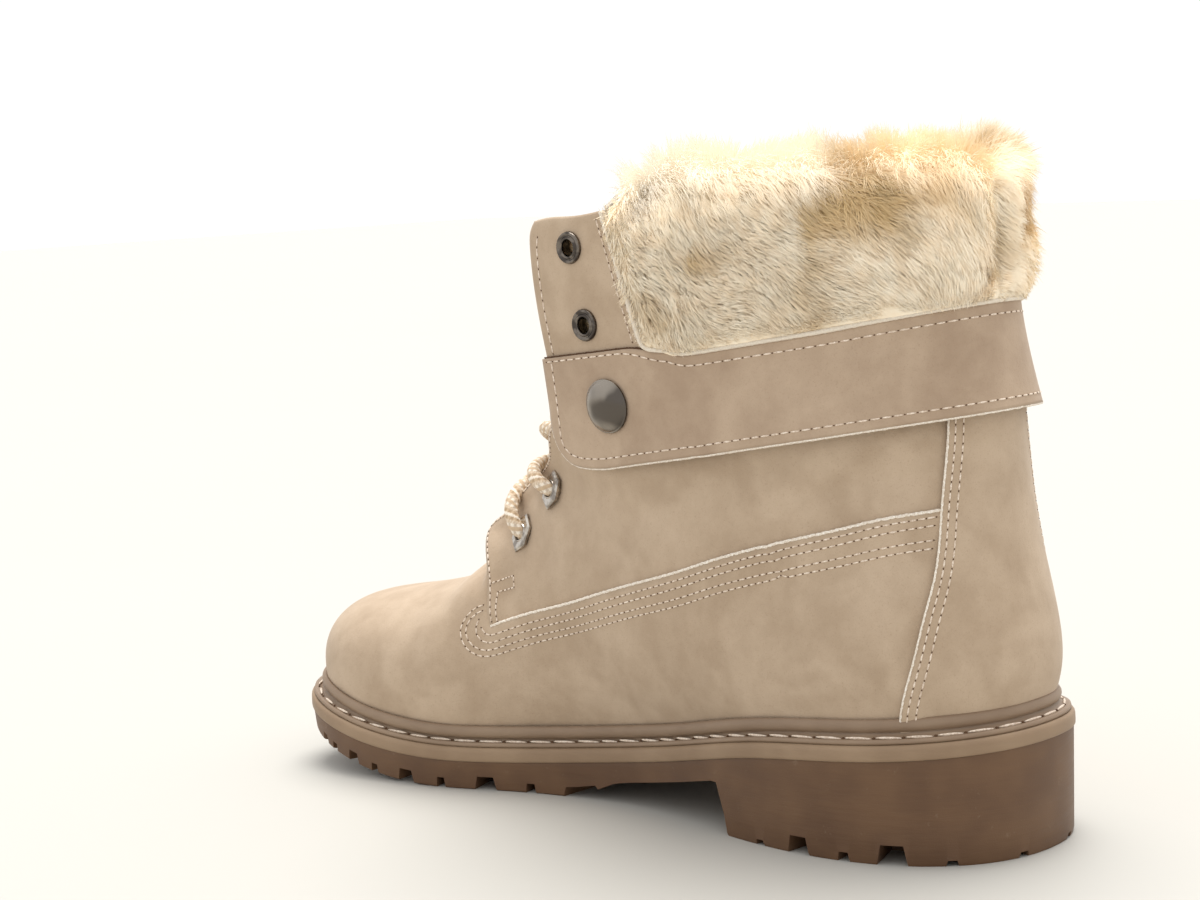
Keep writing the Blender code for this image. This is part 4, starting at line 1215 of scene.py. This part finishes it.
def lace_path(side):
    """One end of the lace: from the middle of the lowest bar, through the eyelets, to its hidden end."""
    spots = []

    def pass_by(station, turn, out):
        spots.append((skin(station, turn, out), outward(station, turn)))

    def pass_throat(station, half, out, here):
        """A spot at a distance from the middle of the throat."""
        pass_by(station, float(side_turn(np.array(station), half, here)), out)

    def gap(station):
        return float(read(THROAT, station))
    here = side
    lowest = seat(LACE_EYELETS[0], side)[0]
    pass_throat(lowest, 0, -1.6, here)
    pass_throat(lowest, gap(lowest) - 4, -2.6, here)
    pass_throat(lowest, gap(lowest) + 3.5, -5, here)
    for number, spot in enumerate(LACE_EYELETS):
        station, turn = seat(spot, here)
        pass_by(station, turn, -3.6)
        if number == len(LACE_RUNS):
            pass_by(station, turn, 0.5)
            break
        leave, edge, on_top, beneath, dive, dive_out, ahead = LACE_RUNS[number]
        middle = on_top if side > 0 else beneath
        pass_by(station, turn, plate_seat((station, turn)))
        rise = seat(LACE_EYELETS[number + 1], -here)[0] - station
        way = station + 0.12
        pass_by(way, turn + 0.4 * (throat_turn(way, here) - turn), leave)
        way = station + 0.38
        pass_throat(way, gap(way) + 0.4, edge, here)
        way = station + 0.72
        pass_throat(way, 0.6 * gap(way), 0.45 * edge + 0.55 * middle, here)
        pass_throat(station + 0.5 * rise, 0, middle, here)
        way = station + dive * rise
        pass_throat(way, gap(way) - ahead, dive_out, -here)
        way = station + (0.2 * dive + 0.77) * rise
        pass_throat(way, gap(way) + 3, UNDER_FACING, -here)
        here = -here
    points, normals = (np.array([spot[k] for spot in spots]) for k in (0, 1))
    length = measure(points)
    at = np.arange(0, length[-1], 0.5)
    return spline(length, points)(at), unit(spline(length, normals)(at))


def braid(angle, length):
    left, right = (np.cos(4 * (angle + sign * 2 * math.pi * length / BRAID_TURN)) for sign in (1, -1))
    return 0.955 + 0.085 * np.maximum(left, right)


def make_lace():
    """The round braided lace: two ends from one bar, each through every laced eyelet of its way."""
    for number, side in enumerate(WORDS, 1):
        points, normals = lace_path(side)
        bm = tube(points, normals, LACE_THICK * 0.97, LACE_THICK * 0.97, 24, braid)
        cord = piece(f"lace_{number}", bm, LACE, "lace_cord", "lace_crossing_1", "lace_crossing_2")
        spots = in_mm(cord.data.vertices) + (HEEL_CENTRE, 0, 0)
        index = nearest(spots, points)[0]
        offset = spots - points[index]
        away = np.linalg.norm(offset, axis=1) / (LACE_THICK / 2)
        way = unit(np.gradient(points, axis=0))[index]
        aside = unit(np.cross(normals[index], way))
        angle = np.arctan2(np.sum(offset * np.cross(way, aside), 1), np.sum(offset * aside, 1))
        twist = angle + 2 * math.pi * measure(points)[index] / BRAID_TURN
        paint_values(cord, strand=np.clip((away - 0.86) / 0.16, 0, 1),
                     fleck=0.5 + 0.5 * np.sin(twist) * np.cos(4 * twist))


# --- sole --------------------------------------------------------------------------------------

SOLE_LENGTH = 272
WELT_REACH = 7.9
MIDSOLE_THICK = 4.2
TOE_SPRING = 16.4
SPRING_START = 198
BREAST = 84          # the front of the heel block
TREAD_START = 152
WAIST_THICK = 6.5
TREAD_DEEP = 3
WAIST_LUG = 143.5      # the front of the low lug in the hollow under the waist
LOOP_COUNT = 520
HALF_LOOP = LOOP_COUNT // 2
# Place along, width, depth of the notches in the edge of the tread and the heel.
NOTCHES = ((168.1, 4.6, 3), (183.2, 9.5, 4.2), (197.2, 4.2, 3.2), (210.8, 8, 4), (224, 4, 2.8),
           (234.3, 6.5, 3.6), (245, 3.6, 2.6),
           (71, 4.4, 1.6), (55.3, 9.5, 5), (41.2, 4.8, 2.6), (27.5, 11, 5.6))
END_NOTCH_ANGLES = (-50, -18, 18, 50)
# Round the heel and round the toe: middle, radius, way along, depth.
END_NOTCHES = ((38, 32, -1, 1.6), (218, 44, 1, 2.8))
NOTCH_LONG = 17.5
GROOVE = (3.4, 3)    # width, depth
CROSS_GROOVES = (172, 188, 204, 220, 236)
HEEL_GROOVES = (26, 58)
# Out from the welt's edge, and height over the ledge.
MIDSOLE_SECTION = (
    (-0.6, -MIDSOLE_THICK - 0.33), (-0.2, -MIDSOLE_THICK - 0.25), (0, -MIDSOLE_THICK + 0.05),
    (0.05, -MIDSOLE_THICK + 0.6), (0, -1.6), (-0.12, -0.9), (-0.5, -0.35), (-1, -0.1), (-1.6, 0),
    (-2.4, -0.02))
WELT_SECTION = ((-2, 0.03), (-1.2, 0.05), (-0.95, 0.55), (-1.15, 1.25), (-1.7, 1.5), (-2.4, 1.35),
                (-3.3, 1.5), (-3.9, 2.1))
BEAD_SECTION = ((1, 2.6), (1.75, 3), (2.2, 3.7), (2.4, 4.5), (2.3, 5.3), (1.9, 6), (1.2, 6.45),
                (0.5, 6.3), (0.1, 5.8))


def foot_loop(level):
    """The last's outline at a height over the ledge, level in plan: heel, inner side, toe, outer side."""
    toe, heel = toe_station(level) + 1e-4, heel_station(level) - 1e-4
    share = (1 - np.cos(np.linspace(0, math.pi, 500))) / 2
    stations = heel + (toe - heel) * share
    inner = last_point(stations, foot_turn(stations, 1, level))
    outer = last_point(stations, foot_turn(stations, -1, level))[::-1]
    loop = joined(inner, outer[1:])
    loop[:, 2] = 0
    length = measure(loop)
    loop = sampled(np.linspace(0, length[-1], LOOP_COUNT + 1)[:-1], length, loop)
    for _ in range(30):
        loop = (np.roll(loop, 1, 0) + 2 * loop + np.roll(loop, -1, 0)) / 4
    return loop


def sideways(way):
    """The ways in plan square to others."""
    return np.stack((-way[..., 1], way[..., 0], 0 * way[..., 0]), -1)


def spread(loop, out):
    """The loop moved outward in plan."""
    return loop + out * sideways(unit(np.roll(loop, -1, 0) - np.roll(loop, 1, 0)))


def over(loop, level):
    """The loop laid at a height over the ledge."""
    return np.stack((loop[:, 0], loop[:, 1], ledge(loop[:, 0]) + level), 1)


def ground(along):
    share = np.maximum(0, along - SPRING_START) / (SOLE_LENGTH - SPRING_START)
    return TOE_SPRING * share ** 2


def banded(loops):
    """A sheet through closed loops that have the same count."""
    loops = np.array(loops)

    def place(u, v):
        i = np.rint(u * LOOP_COUNT).astype(int) % LOOP_COUNT
        return loops[np.rint(v * (len(loops) - 1)).astype(int), i]
    return formed(LOOP_COUNT, len(loops) - 1, place)


def webbed(loop, height):
    """A sheet inside one closed loop, of strips across it; height gives its own level."""
    def place(u, v):
        i = np.rint(v * HALF_LOOP).astype(int)
        inner, outer = loop[i % LOOP_COUNT], loop[(LOOP_COUNT - i) % LOOP_COUNT]
        points = inner * (1 - u[:, None]) + outer * u[:, None]
        inside = (u > 1e-6) & (u < 1 - 1e-6)
        points[:, 2] = np.where(inside, height(points[:, 0]), points[:, 2])
        return points
    return formed(12, HALF_LOOP, place)


def block(wide, long, deep, middle, turn):
    """A groove's cutter: a box that narrows upward, on the bent ground."""
    bm = bmesh.new()
    bmesh.ops.create_cube(bm, size=1)
    bmesh.ops.subdivide_edges(bm, edges=[edge for edge in bm.edges
                                         if abs((edge.verts[0].co - edge.verts[1].co).y) > 0.5], cuts=5)
    for vert in bm.verts:
        if vert.co.z > 0:
            vert.co.x *= 0.58
        vert.co = Vector((vert.co.x * wide, vert.co.y * long, vert.co.z * 2 * deep))
    bmesh.ops.rotate(bm, verts=bm.verts, matrix=Matrix.Rotation(turn, 3, "Z"))
    for vert in bm.verts:
        spot = np.array(vert.co) + middle
        spot[2] += ground(spot[0])
        vert.co = to_metres(spot)
    return bm


def notch(wide, deep, middle, way):
    """A cutter that reaches in from the edge, against a way outward."""
    return block(wide, NOTCH_LONG, deep, middle, math.atan2(way[1], way[0]) - math.pi / 2)


def edge_spot(loop, along, side):
    """A place on one side of the loop, and the way out there."""
    share = np.arange(1, HALF_LOOP) if side > 0 else np.arange(HALF_LOOP + 1, LOOP_COUNT - 1)
    i = share[np.abs(loop[share, 0] - along).argmin()]
    return loop[i], sideways(unit(loop[i + 1] - loop[i - 1]))


def tread_blocks(edge):
    """Cutters for the edge notches, the chevrons under the ball and the heel's cross grooves."""
    wide, deep = GROOVE
    blocks = []
    for side in WORDS:
        for along, notch_wide, notch_deep in NOTCHES:
            spot, way = edge_spot(edge, along, side)
            blocks.append(notch(notch_wide, notch_deep, spot - way * 6.75, way))
        for along in CROSS_GROOVES:
            middle = np.array((along - 2.5, side * 10 - 2, 0))
            blocks.append(block(wide, 27, deep, middle, -side * math.radians(18)))
    for angle in np.radians(END_NOTCH_ANGLES):
        for pivot, reach, sign, notch_deep in END_NOTCHES:
            way = np.array((sign * math.cos(angle), math.sin(angle), 0))
            blocks.append(notch(4.4, notch_deep, np.array((pivot, 2, 0)) + way * reach, way))
    for along in HEEL_GROOVES:
        blocks.append(block(wide, 46, deep, np.array((along, 2, 0)), 0))
    return blocks


def arch_block():
    """The hollow between heel and forefoot, drawn from the side and pushed right across."""
    start, end = BREAST + 7, TREAD_START + 3.3
    along = np.linspace(start, end, 64)
    sink = np.maximum(0, (along - 128) / (end - 128))
    roof = TREAD_DEEP + (ledge(along) - MIDSOLE_THICK - WAIST_THICK - TREAD_DEEP) * (1 - sink ** 2)
    roof = roof - np.where(along < WAIST_LUG, 1.4 * np.clip((along - WAIST_LUG) / 7 + 1, 0, 1), 0)
    outline = [(TREAD_START, -2), (BREAST, -2), (BREAST + 1.5, 6), (BREAST + 4.5, 15)]
    outline += list(zip(along, roof)) + [(end + 1.6, -2)]
    bm = bmesh.new()
    face = bm.faces.new([bm.verts.new(to_metres((x, -80, z))) for x, z in outline])
    pushed = bmesh.ops.extrude_face_region(bm, geom=[face])
    moved = [item for item in pushed["geom"] if isinstance(item, bmesh.types.BMVert)]
    bmesh.ops.translate(bm, verts=moved, vec=(0, 160 * MM, 0))
    bmesh.ops.recalc_face_normals(bm, faces=bm.faces)
    return bm


def make_outsole(foot):
    low = -MIDSOLE_THICK - GAP
    lower, upper = spread(foot, WELT_REACH - 1.1), spread(foot, WELT_REACH - 0.45)
    bottom = np.stack((lower[:, 0], lower[:, 1], ground(lower[:, 0])), 1)
    top = over(upper, low)
    levels = [bottom + (top - bottom) * share for share in (0, 0.04, 0.3, 0.6, 0.9, 0.97)]
    levels[0] = levels[0] + (spread(foot, WELT_REACH - 1.5) - lower)
    levels.append(over(spread(foot, WELT_REACH - 0.55), low))
    bm = added(banded(levels), webbed(levels[0], ground), webbed(levels[-1], lambda x: ledge(x) + low))
    sole = piece("lug_outsole", bm, OUTSOLE, "outsole_rubber", "outsole")
    cut(sole, welded(added(bmesh.new(), arch_block())), smooth=True)
    cut(sole, welded(added(bmesh.new(), *tread_blocks(lower))), smooth=True, crossing=True)
    sole.data.set_sharp_from_angle(angle=math.radians(32))


def make_midsole(foot):
    """The pale band under the welt, with a rounded upper corner."""
    loops = [over(spread(foot, WELT_REACH + out), level) for out, level in MIDSOLE_SECTION]
    bm = added(banded(loops), webbed(loops[0], lambda x: ledge(x) + MIDSOLE_SECTION[0][1]),
               webbed(loops[-1], lambda x: ledge(x) + MIDSOLE_SECTION[-1][1]))
    piece("midsole_band", bm, MIDSOLE, "midsole_rubber", "midsole")


def make_welt(foot):
    """A round bead against the upper, a stitched valley and a thin lip over the midsole."""
    low, middle, high = (foot_loop(level) for level in (GAP, 3, 6.2))
    loops = [over(spread(foot, WELT_REACH + out), level) for out, level in WELT_SECTION]
    loops += [over(spread(high, out), level) for out, level in BEAD_SECTION]
    loops += [over(spread(middle, 0.1), 3), over(spread(low, 0.1), GAP), loops[0]]
    piece("welt_strip", banded(loops), WELT, "welt_rubber", "welt")


def welt_stitches(foot):
    line = over(spread(foot, WELT_REACH - 2.75), 1.45)
    line = joined(line, line[:1])
    normals = unit(sideways(unit(np.gradient(line, axis=0))) * 0.75 + UPRIGHT)
    thread = Thread()
    thread.row(line + normals * 0.2, normals, 8.8, thick=0.9, cover=0.9, hole=0.6)
    thread.finish("welt")


# --- fur ---------------------------------------------------------------------------------------

FUR_OUT = 5
FUR_IN = 5
FUR_TOP = 193
FUR_GRID = (210, 84)   # faces round the shaft and along its section
WALL = 2.2
# The fur's front end on the inner side: height and place along, low and high.
(LOW_END, LOW_ALONG), (HIGH_END, HIGH_ALONG) = (139, 107), (178, 117.5)
FUR_SEAM = 5         # the place across of the seam behind
SEAM_SINK = 3.4
BARE_END = 172       # under this height no strands grow on the body's front ends
FUR_PIECES = 3
FUR_STRANDS = 42000 * FUR_PIECES
LOCK_STRANDS = 70
BODY_TIP, BODY_LOCK = 0.62, 0.45
# Painted shade on the pile, tan at these places, and painted light at the last, whose share is below nought:
# place along, height, their reaches, and how much.
PAINTED_SHADE_PLACES = ((30, 180, 20, 13, 0.5), (48, 177, 9, 8, 0.35), (48, 164, 9, 8, 0.25),
              (86, 165, 7, 6, 0.4), (98, 151, 5, 8, 0.2), (2, 176, 9, 14, -0.3))


def at_height(turn, up, out):
    """Points beside the shaft at a height; over the rim the shaft goes straight up."""
    rim = last_point(TOP, turn)[:, 2]
    station = solve(lambda s: last_point(s, turn)[..., 2] - np.minimum(up, rim),
                    np.full_like(turn, 10), np.full_like(turn, TOP))
    points = last_point(station, turn) + out[:, None] * outward(station, turn)
    points[:, 2] = np.where(up > rim, up, points[:, 2])
    return points


def fur_body():
    """The pile's smooth shape: a section from the cuff up over the rim and down inside, swept round."""
    low_front, high_front = (abs(seat(spot, 1)[1]) for spot in ((LOW_ALONG, LOW_END), (HIGH_ALONG, HIGH_END)))

    def sections(share):
        """Control places, as distances out from the shaft and heights."""
        soft = 0.55 + 0.45 * np.clip((1 - np.abs(share)) / 0.12, 0, 1) ** 0.5
        rim = last_point(TOP, share * high_front)[:, 2]
        low_turn = share * low_front
        low = last_point(meet(low_turn, CUFF_TOP), low_turn)[:, 2] + 0.6
        out, deep = FUR_OUT * soft, FUR_IN * soft
        rows = ((0.3, low), (3.4, low), (1.2 + out * 0.75, low + 5), (0.6 + out * 0.95, low + 13),
                (0.5 + out, (low + rim) / 2), (0.5 + out * 0.95, rim - 2),
                (0.2 + out * 0.6, FUR_TOP - 6.5), (-1, FUR_TOP - 4),
                (-WALL - deep * 0.6, FUR_TOP - 6.5), (-WALL - deep, rim - 3), (-WALL - deep, rim - 22),
                (-WALL - 0.5, rim - 32))
        return np.stack([np.stack(np.broadcast_arrays(*row, share)[:2], -1) for row in rows], 1)

    def place(u, v):
        share = 1 - 2 * u
        section = sections(share)
        count = section.shape[1] - 1
        at = v * count
        i = np.clip(at.astype(int), 0, count - 1)
        part = (at - i)[:, None]
        before, a, b, after = (section[np.arange(len(u)), np.clip(i + k, 0, count)] for k in (-1, 0, 1, 2))
        spot = 0.5 * (2 * a + (b - before) * part + (2 * before - 5 * a + 4 * b - after) * part ** 2
                      + (3 * a - before - 3 * b + after) * part ** 3)
        rise = np.clip((spot[:, 1] - LOW_END) / (HIGH_END - LOW_END), 0, 1)
        turn = share * (low_front + (high_front - low_front) * rise)
        turn = turn - share * np.abs(share) ** 3 * 0.09 * ease(spot[:, 1], HIGH_END, FUR_TOP)
        return at_height(turn, spot[:, 1], spot[:, 0])
    across, along = FUR_GRID
    bm = formed(across, along, place)
    bm.verts.ensure_lookup_table()
    for end in (0, across):
        outline = [bm.verts[row * (across + 1) + end] for row in range(along + 1)]
        for row in range(along // 2):
            far = along - row
            ring = (outline[row], outline[row + 1], outline[far - 1], outline[far])
            bm.faces.new(list(dict.fromkeys(ring)))
    bmesh.ops.recalc_face_normals(bm, faces=bm.faces)
    face_away(bm, SHAFT_MIDDLE)
    bm.normal_update()
    return bm


def over_cuff(points):
    """Heights over the cuff's upper edge."""
    return points[:, 2] - read(CUFF_TOP, points[:, 0] + HEEL_CENTRE)


def make_fur():
    """A lumpy pile body over the rim, with combed locks of strands all over it."""
    bm = fur_body()
    spots = in_mm(bm.verts)
    rises = lumps(spots) * (0.25 + 0.75 * ease(over_cuff(spots), 1, 7))
    for vert, spot, rise in zip(bm.verts, spots, rises):
        seam = math.exp(-(spot[1] - FUR_SEAM) ** 2 / 10) if spot[0] < 0 else 0
        vert.co += vert.normal * (rise - SEAM_SINK * seam * ease(spot[2], 151, 160)) * MM
    bm.normal_update()
    bmesh.ops.triangulate(bm, faces=bm.faces)
    areas = np.array([face.calc_area() for face in bm.faces])
    corners = np.array([[vert.co[:] for vert in face.verts] for face in bm.faces]) / MM
    normals = np.array([[vert.normal[:] for vert in face.verts] for face in bm.faces])
    body = piece("fur_body", bm, FUR, "fur", "fur_collar", open_from=SHAFT_MIDDLE)
    spots = in_mm(body.data.vertices)
    # hollow carries painted shade, rim a painted highlight
    paint_values(body, tip=BODY_TIP, lock=BODY_LOCK, hollow=painted_shade_share(spots), rim=painted_highlight_share(spots))
    grow_strands(corners, normals, areas)


def lumps(points):
    """How far the pile stands out in soft tufts and hollows."""
    return np.array([noise.noise(Vector(point / 19)) * 2.4
                     + noise.noise(Vector(point / 8 + (9, 2, 5))) * 0.9 for point in points])


def painted_shade_share(points):
    """How much painted shade tans the pile: more in its hollows and at the listed places."""
    along, up = points[:, 0] + HEEL_CENTRE, points[:, 2]
    share = 0.42 - lumps(points) / 5
    for middle, height, wide, high, extra in PAINTED_SHADE_PLACES:
        share = share + extra * np.exp(-((along - middle) / wide) ** 2 - ((up - height) / high) ** 2)
    return share


def painted_highlight_share(points):
    """How much painted highlight pales the pile at its top, less over the painted shade behind."""
    along = points[:, 0] + HEEL_CENTRE
    behind = np.exp(-((along - 28) / 17) ** 2)
    return ease(points[:, 2] + 9 * ease(along, 90, 108), 181, 193) * (0.85 - 0.75 * behind)


def swirl(points):
    return np.array([noise.noise_vector(Vector(point / 22 + (3, 7, 1))) for point in points])


def strand_roots(count, corners, normals, areas):
    """Random places on the body, and the ways square to it there."""
    areas = areas * (normals[:, :, 2].mean(1) > -0.4)
    front_end = (normals[:, :, 0].mean(1) > 0.6) & (corners[:, :, 0].mean(1) > 50)
    areas = areas * np.where(front_end & (corners[:, :, 2].mean(1) < BARE_END), 0, 1)
    chosen = rng.choice(len(areas), count, p=areas / areas.sum())
    a, b = rng.random((2, count))
    flip = a + b > 1
    a, b = np.where(flip, 1 - a, a), np.where(flip, 1 - b, b)
    weights = np.stack((1 - a - b, a, b), 1)[..., None]
    return np.sum(corners[chosen] * weights, 1), unit(np.sum(normals[chosen] * weights, 1))


def grow_strands(corners, normals, areas):
    """Tapered strands rooted in the body: nearby ones lean together into locks."""
    count = FUR_STRANDS
    roots, normal = strand_roots(count, corners, normals, areas)
    radial = roots - (SHAFT_MIDDLE[0] - HEEL_CENTRE, 1, 0)
    radial[:, 2] = 0
    radial = unit(radial)
    outer = np.sum(normal * radial, 1)
    above = ease(normal[:, 2], 0.35, 0.9)[:, None]
    outside = ease(outer, 0, 0.4)
    near_cuff = outside * (1 - ease(over_cuff(roots), 0, 12))
    front = np.interp(roots[:, 2], (LOW_END, HIGH_END, FUR_TOP), (LOW_ALONG, HIGH_ALONG, HIGH_ALONG - 7))
    near_front = outside * ease(roots[:, 0] + HEEL_CENTRE - front, -9, 1)
    # The pile is combed back and down outside, straight down inside, and stands up on the rim.
    comb = np.stack((-0.85 + 1.3 * near_front, np.zeros(count), -0.5 * (1 - 0.8 * near_cuff)), 1)
    comb = np.where((outer < -0.2)[:, None], (0, 0, -1), comb)
    upright = radial * 0.4 + (0, 0, 0.3)
    upright[:, 0] = np.minimum(upright[:, 0], 0) - 0.15
    comb = comb * (1 - above) + above * upright
    # Behind, it parts at the seam.
    back = ease(-roots[:, 0], 15, 32)[:, None]
    comb = comb * (1 - 0.7 * back) + back * np.array((0, 0, -0.5)) + back * radial * 0.1
    parting = back[:, 0] * np.exp(-((roots[:, 1] - FUR_SEAM) / 8) ** 2)
    comb[:, 1] += 0.8 * parting * np.sign(roots[:, 1] - FUR_SEAM)
    comb = comb + 0.7 * swirl(roots)
    comb = comb - normal * np.sum(comb * normal, 1, keepdims=True)
    comb = unit(comb + 0.2 * rng.normal(0, 1, (count, 3)))
    lift = 0.2 + 0.45 * above[:, 0] + 0.16 * rng.random(count)
    long = (8.2 + 3 * rng.random(count)) * (0.8 + 0.3 * above[:, 0])
    long = long * (1 - 0.74 * near_cuff) * (1 - 0.45 * near_front)
    own_tip = roots + unit(comb + normal * lift[:, None]) * long[:, None]
    heads = rng.choice(count, count // LOCK_STRANDS, replace=False)
    lock = nearest(roots, roots[heads])[0]
    head = heads[lock]
    drawn_tip = own_tip[head] + (roots - roots[head]) * 0.25
    pull = (0.15 + 0.3 * rng.random(count)[:, None]) * (1 - 0.8 * near_cuff[:, None])
    tips = own_tip * (1 - pull) + drawn_tip * pull
    bend = roots + normal * (long * (0.26 + 0.12 * above[:, 0]))[:, None] + (tips - roots) * 0.4
    thick = 0.17 + 0.1 * rng.random(count)
    shade = rng.random(len(heads))[lock] * 0.6 + 0.4 * rng.random(count)
    strands = (roots - 1.2 * normal, bend, tips, normal, above, thick, shade, painted_shade_share(roots),
               painted_highlight_share(roots))
    for number in range(FUR_PIECES):
        strand_piece(f"fur_locks_{number + 1}", *(rows[number::FUR_PIECES] for rows in strands))


def strand_piece(name, roots, bend, tips, facing, upright, thick, shade, hollow, rim):
    """Tapered bent blades that lie nearly flat to the pile: two pairs of corners and a point."""
    count = len(roots)
    spine = [(1 - t) ** 2 * roots + 2 * t * (1 - t) * bend + t * t * tips for t in (0, 0.55, 1)]
    side = unit(np.cross(unit(tips - roots), facing + 0.2 * rng.normal(0, 1, (count, 3))))
    rows = []
    for centre, size in zip(spine, (1, 0.85)):
        half = side * (thick * size / 2)[:, None]
        rows += [centre - half, centre + half]
    points = np.stack(rows + spine[-1:], 1).reshape(-1, 3) * MM
    start = np.arange(count)[:, None] * 5
    mesh = bpy.data.meshes.new(name)
    mesh.from_pydata(points.tolist(), [], (np.array((0, 1, 3, 2)) + start).tolist()
                     + (np.array((2, 3, 4)) + start).tolist())
    mesh.materials.append(FUR)
    mesh.shade_smooth()
    # The blades take the light as the pile under them does, so the fur looks soft.
    square = unit(np.cross(side, tips - roots))
    soft = facing * (1 - 0.85 * upright) + square * (0.2 + upright) + (0, 0, 0.3) * (1 - upright)
    soft = unit(soft + 0.06 * rng.normal(0, 1, (count, 3)))
    mesh.normals_split_custom_set_from_vertices(np.repeat(soft, 5, axis=0).tolist())
    thing = placed(name, mesh)
    paint_values(thing, tip=np.tile((0, 0, 0.6, 0.6, 1), count), lock=np.repeat(shade, 5),
                 hollow=np.repeat(hollow, 5), rim=np.repeat(rim, 5))
    thing.visible_shadow = False
    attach(thing, "root")


# --- floor, light and camera -------------------------------------------------------------------

SUN_FROM = Vector((0.16, -0.30, 0.94))
CAMERA_SPOT = (-0.4162, 0.5984, 0.1933)
CAMERA_AHEAD = (0.667, -0.745)
CAMERA_TILT, CAMERA_ROLL = 0.112, -0.046


def make_stage():
    bm = bmesh.new()
    bmesh.ops.create_grid(bm, x_segments=1, y_segments=1, size=6)
    floor = placed("floor", meshed("floor", bm))
    floor.data.materials.append(grained("floor", 0.2, (400, 2, 0.5), (0.503, 0.49, 0.455, 1),
                                        (0.513, 0.5, 0.465, 1), (0.05, 0.6)))
    scene = bpy.context.scene
    scene.world = bpy.data.worlds.new("studio")
    scene.world.use_nodes = True
    sky = scene.world.node_tree.nodes["Background"].inputs
    sky["Color"].default_value = (1, 1, 1, 1)
    sky["Strength"].default_value = 1.04
    sun = bpy.data.lights.new("overhead", "SUN")
    sun.energy = 3.3
    sun.angle = math.radians(42)
    sun.color = (1, 0.98, 0.95)
    placed("overhead", sun).rotation_euler = SUN_FROM.to_track_quat("Z", "Y").to_euler()
    scene.view_settings.view_transform = "Standard"


def make_camera():
    data = bpy.data.cameras.new("camera")
    data.lens, data.sensor_width = 78, 36
    data.clip_start, data.clip_end = 0.01, 20
    camera = placed("camera", data)
    level = math.cos(CAMERA_TILT)
    ahead = Vector((CAMERA_AHEAD[0] * level, CAMERA_AHEAD[1] * level, -math.sin(CAMERA_TILT))).normalized()
    aside = ahead.cross(Vector((0, 0, 1))).normalized()
    upward = aside.cross(ahead)
    right = aside * math.cos(CAMERA_ROLL) + upward * math.sin(CAMERA_ROLL)
    up = upward * math.cos(CAMERA_ROLL) - aside * math.sin(CAMERA_ROLL)
    turn = Matrix((right, up, -ahead)).transposed().to_4x4()
    camera.matrix_world = Matrix.Translation(CAMERA_SPOT) @ turn
    bpy.context.scene.camera = camera


def main():
    for make in (make_vamp, make_quarters, make_back_panel, make_lining, make_tongue, make_cuff, make_flaps,
                 make_raw_edges, make_piping):
        make()
    thread = Thread()
    side_stitches(thread)
    cuff_stitches(thread)
    make_seams()
    thread.finish("upper")
    make_hardware()
    make_lace()
    foot = foot_loop(GAP)
    for make in (make_outsole, make_midsole, make_welt, welt_stitches):
        make(foot)
    make_fur()
    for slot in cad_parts["insole"].material_slots:
        slot.material = FLEECE
    make_stage()
    make_camera()


main()
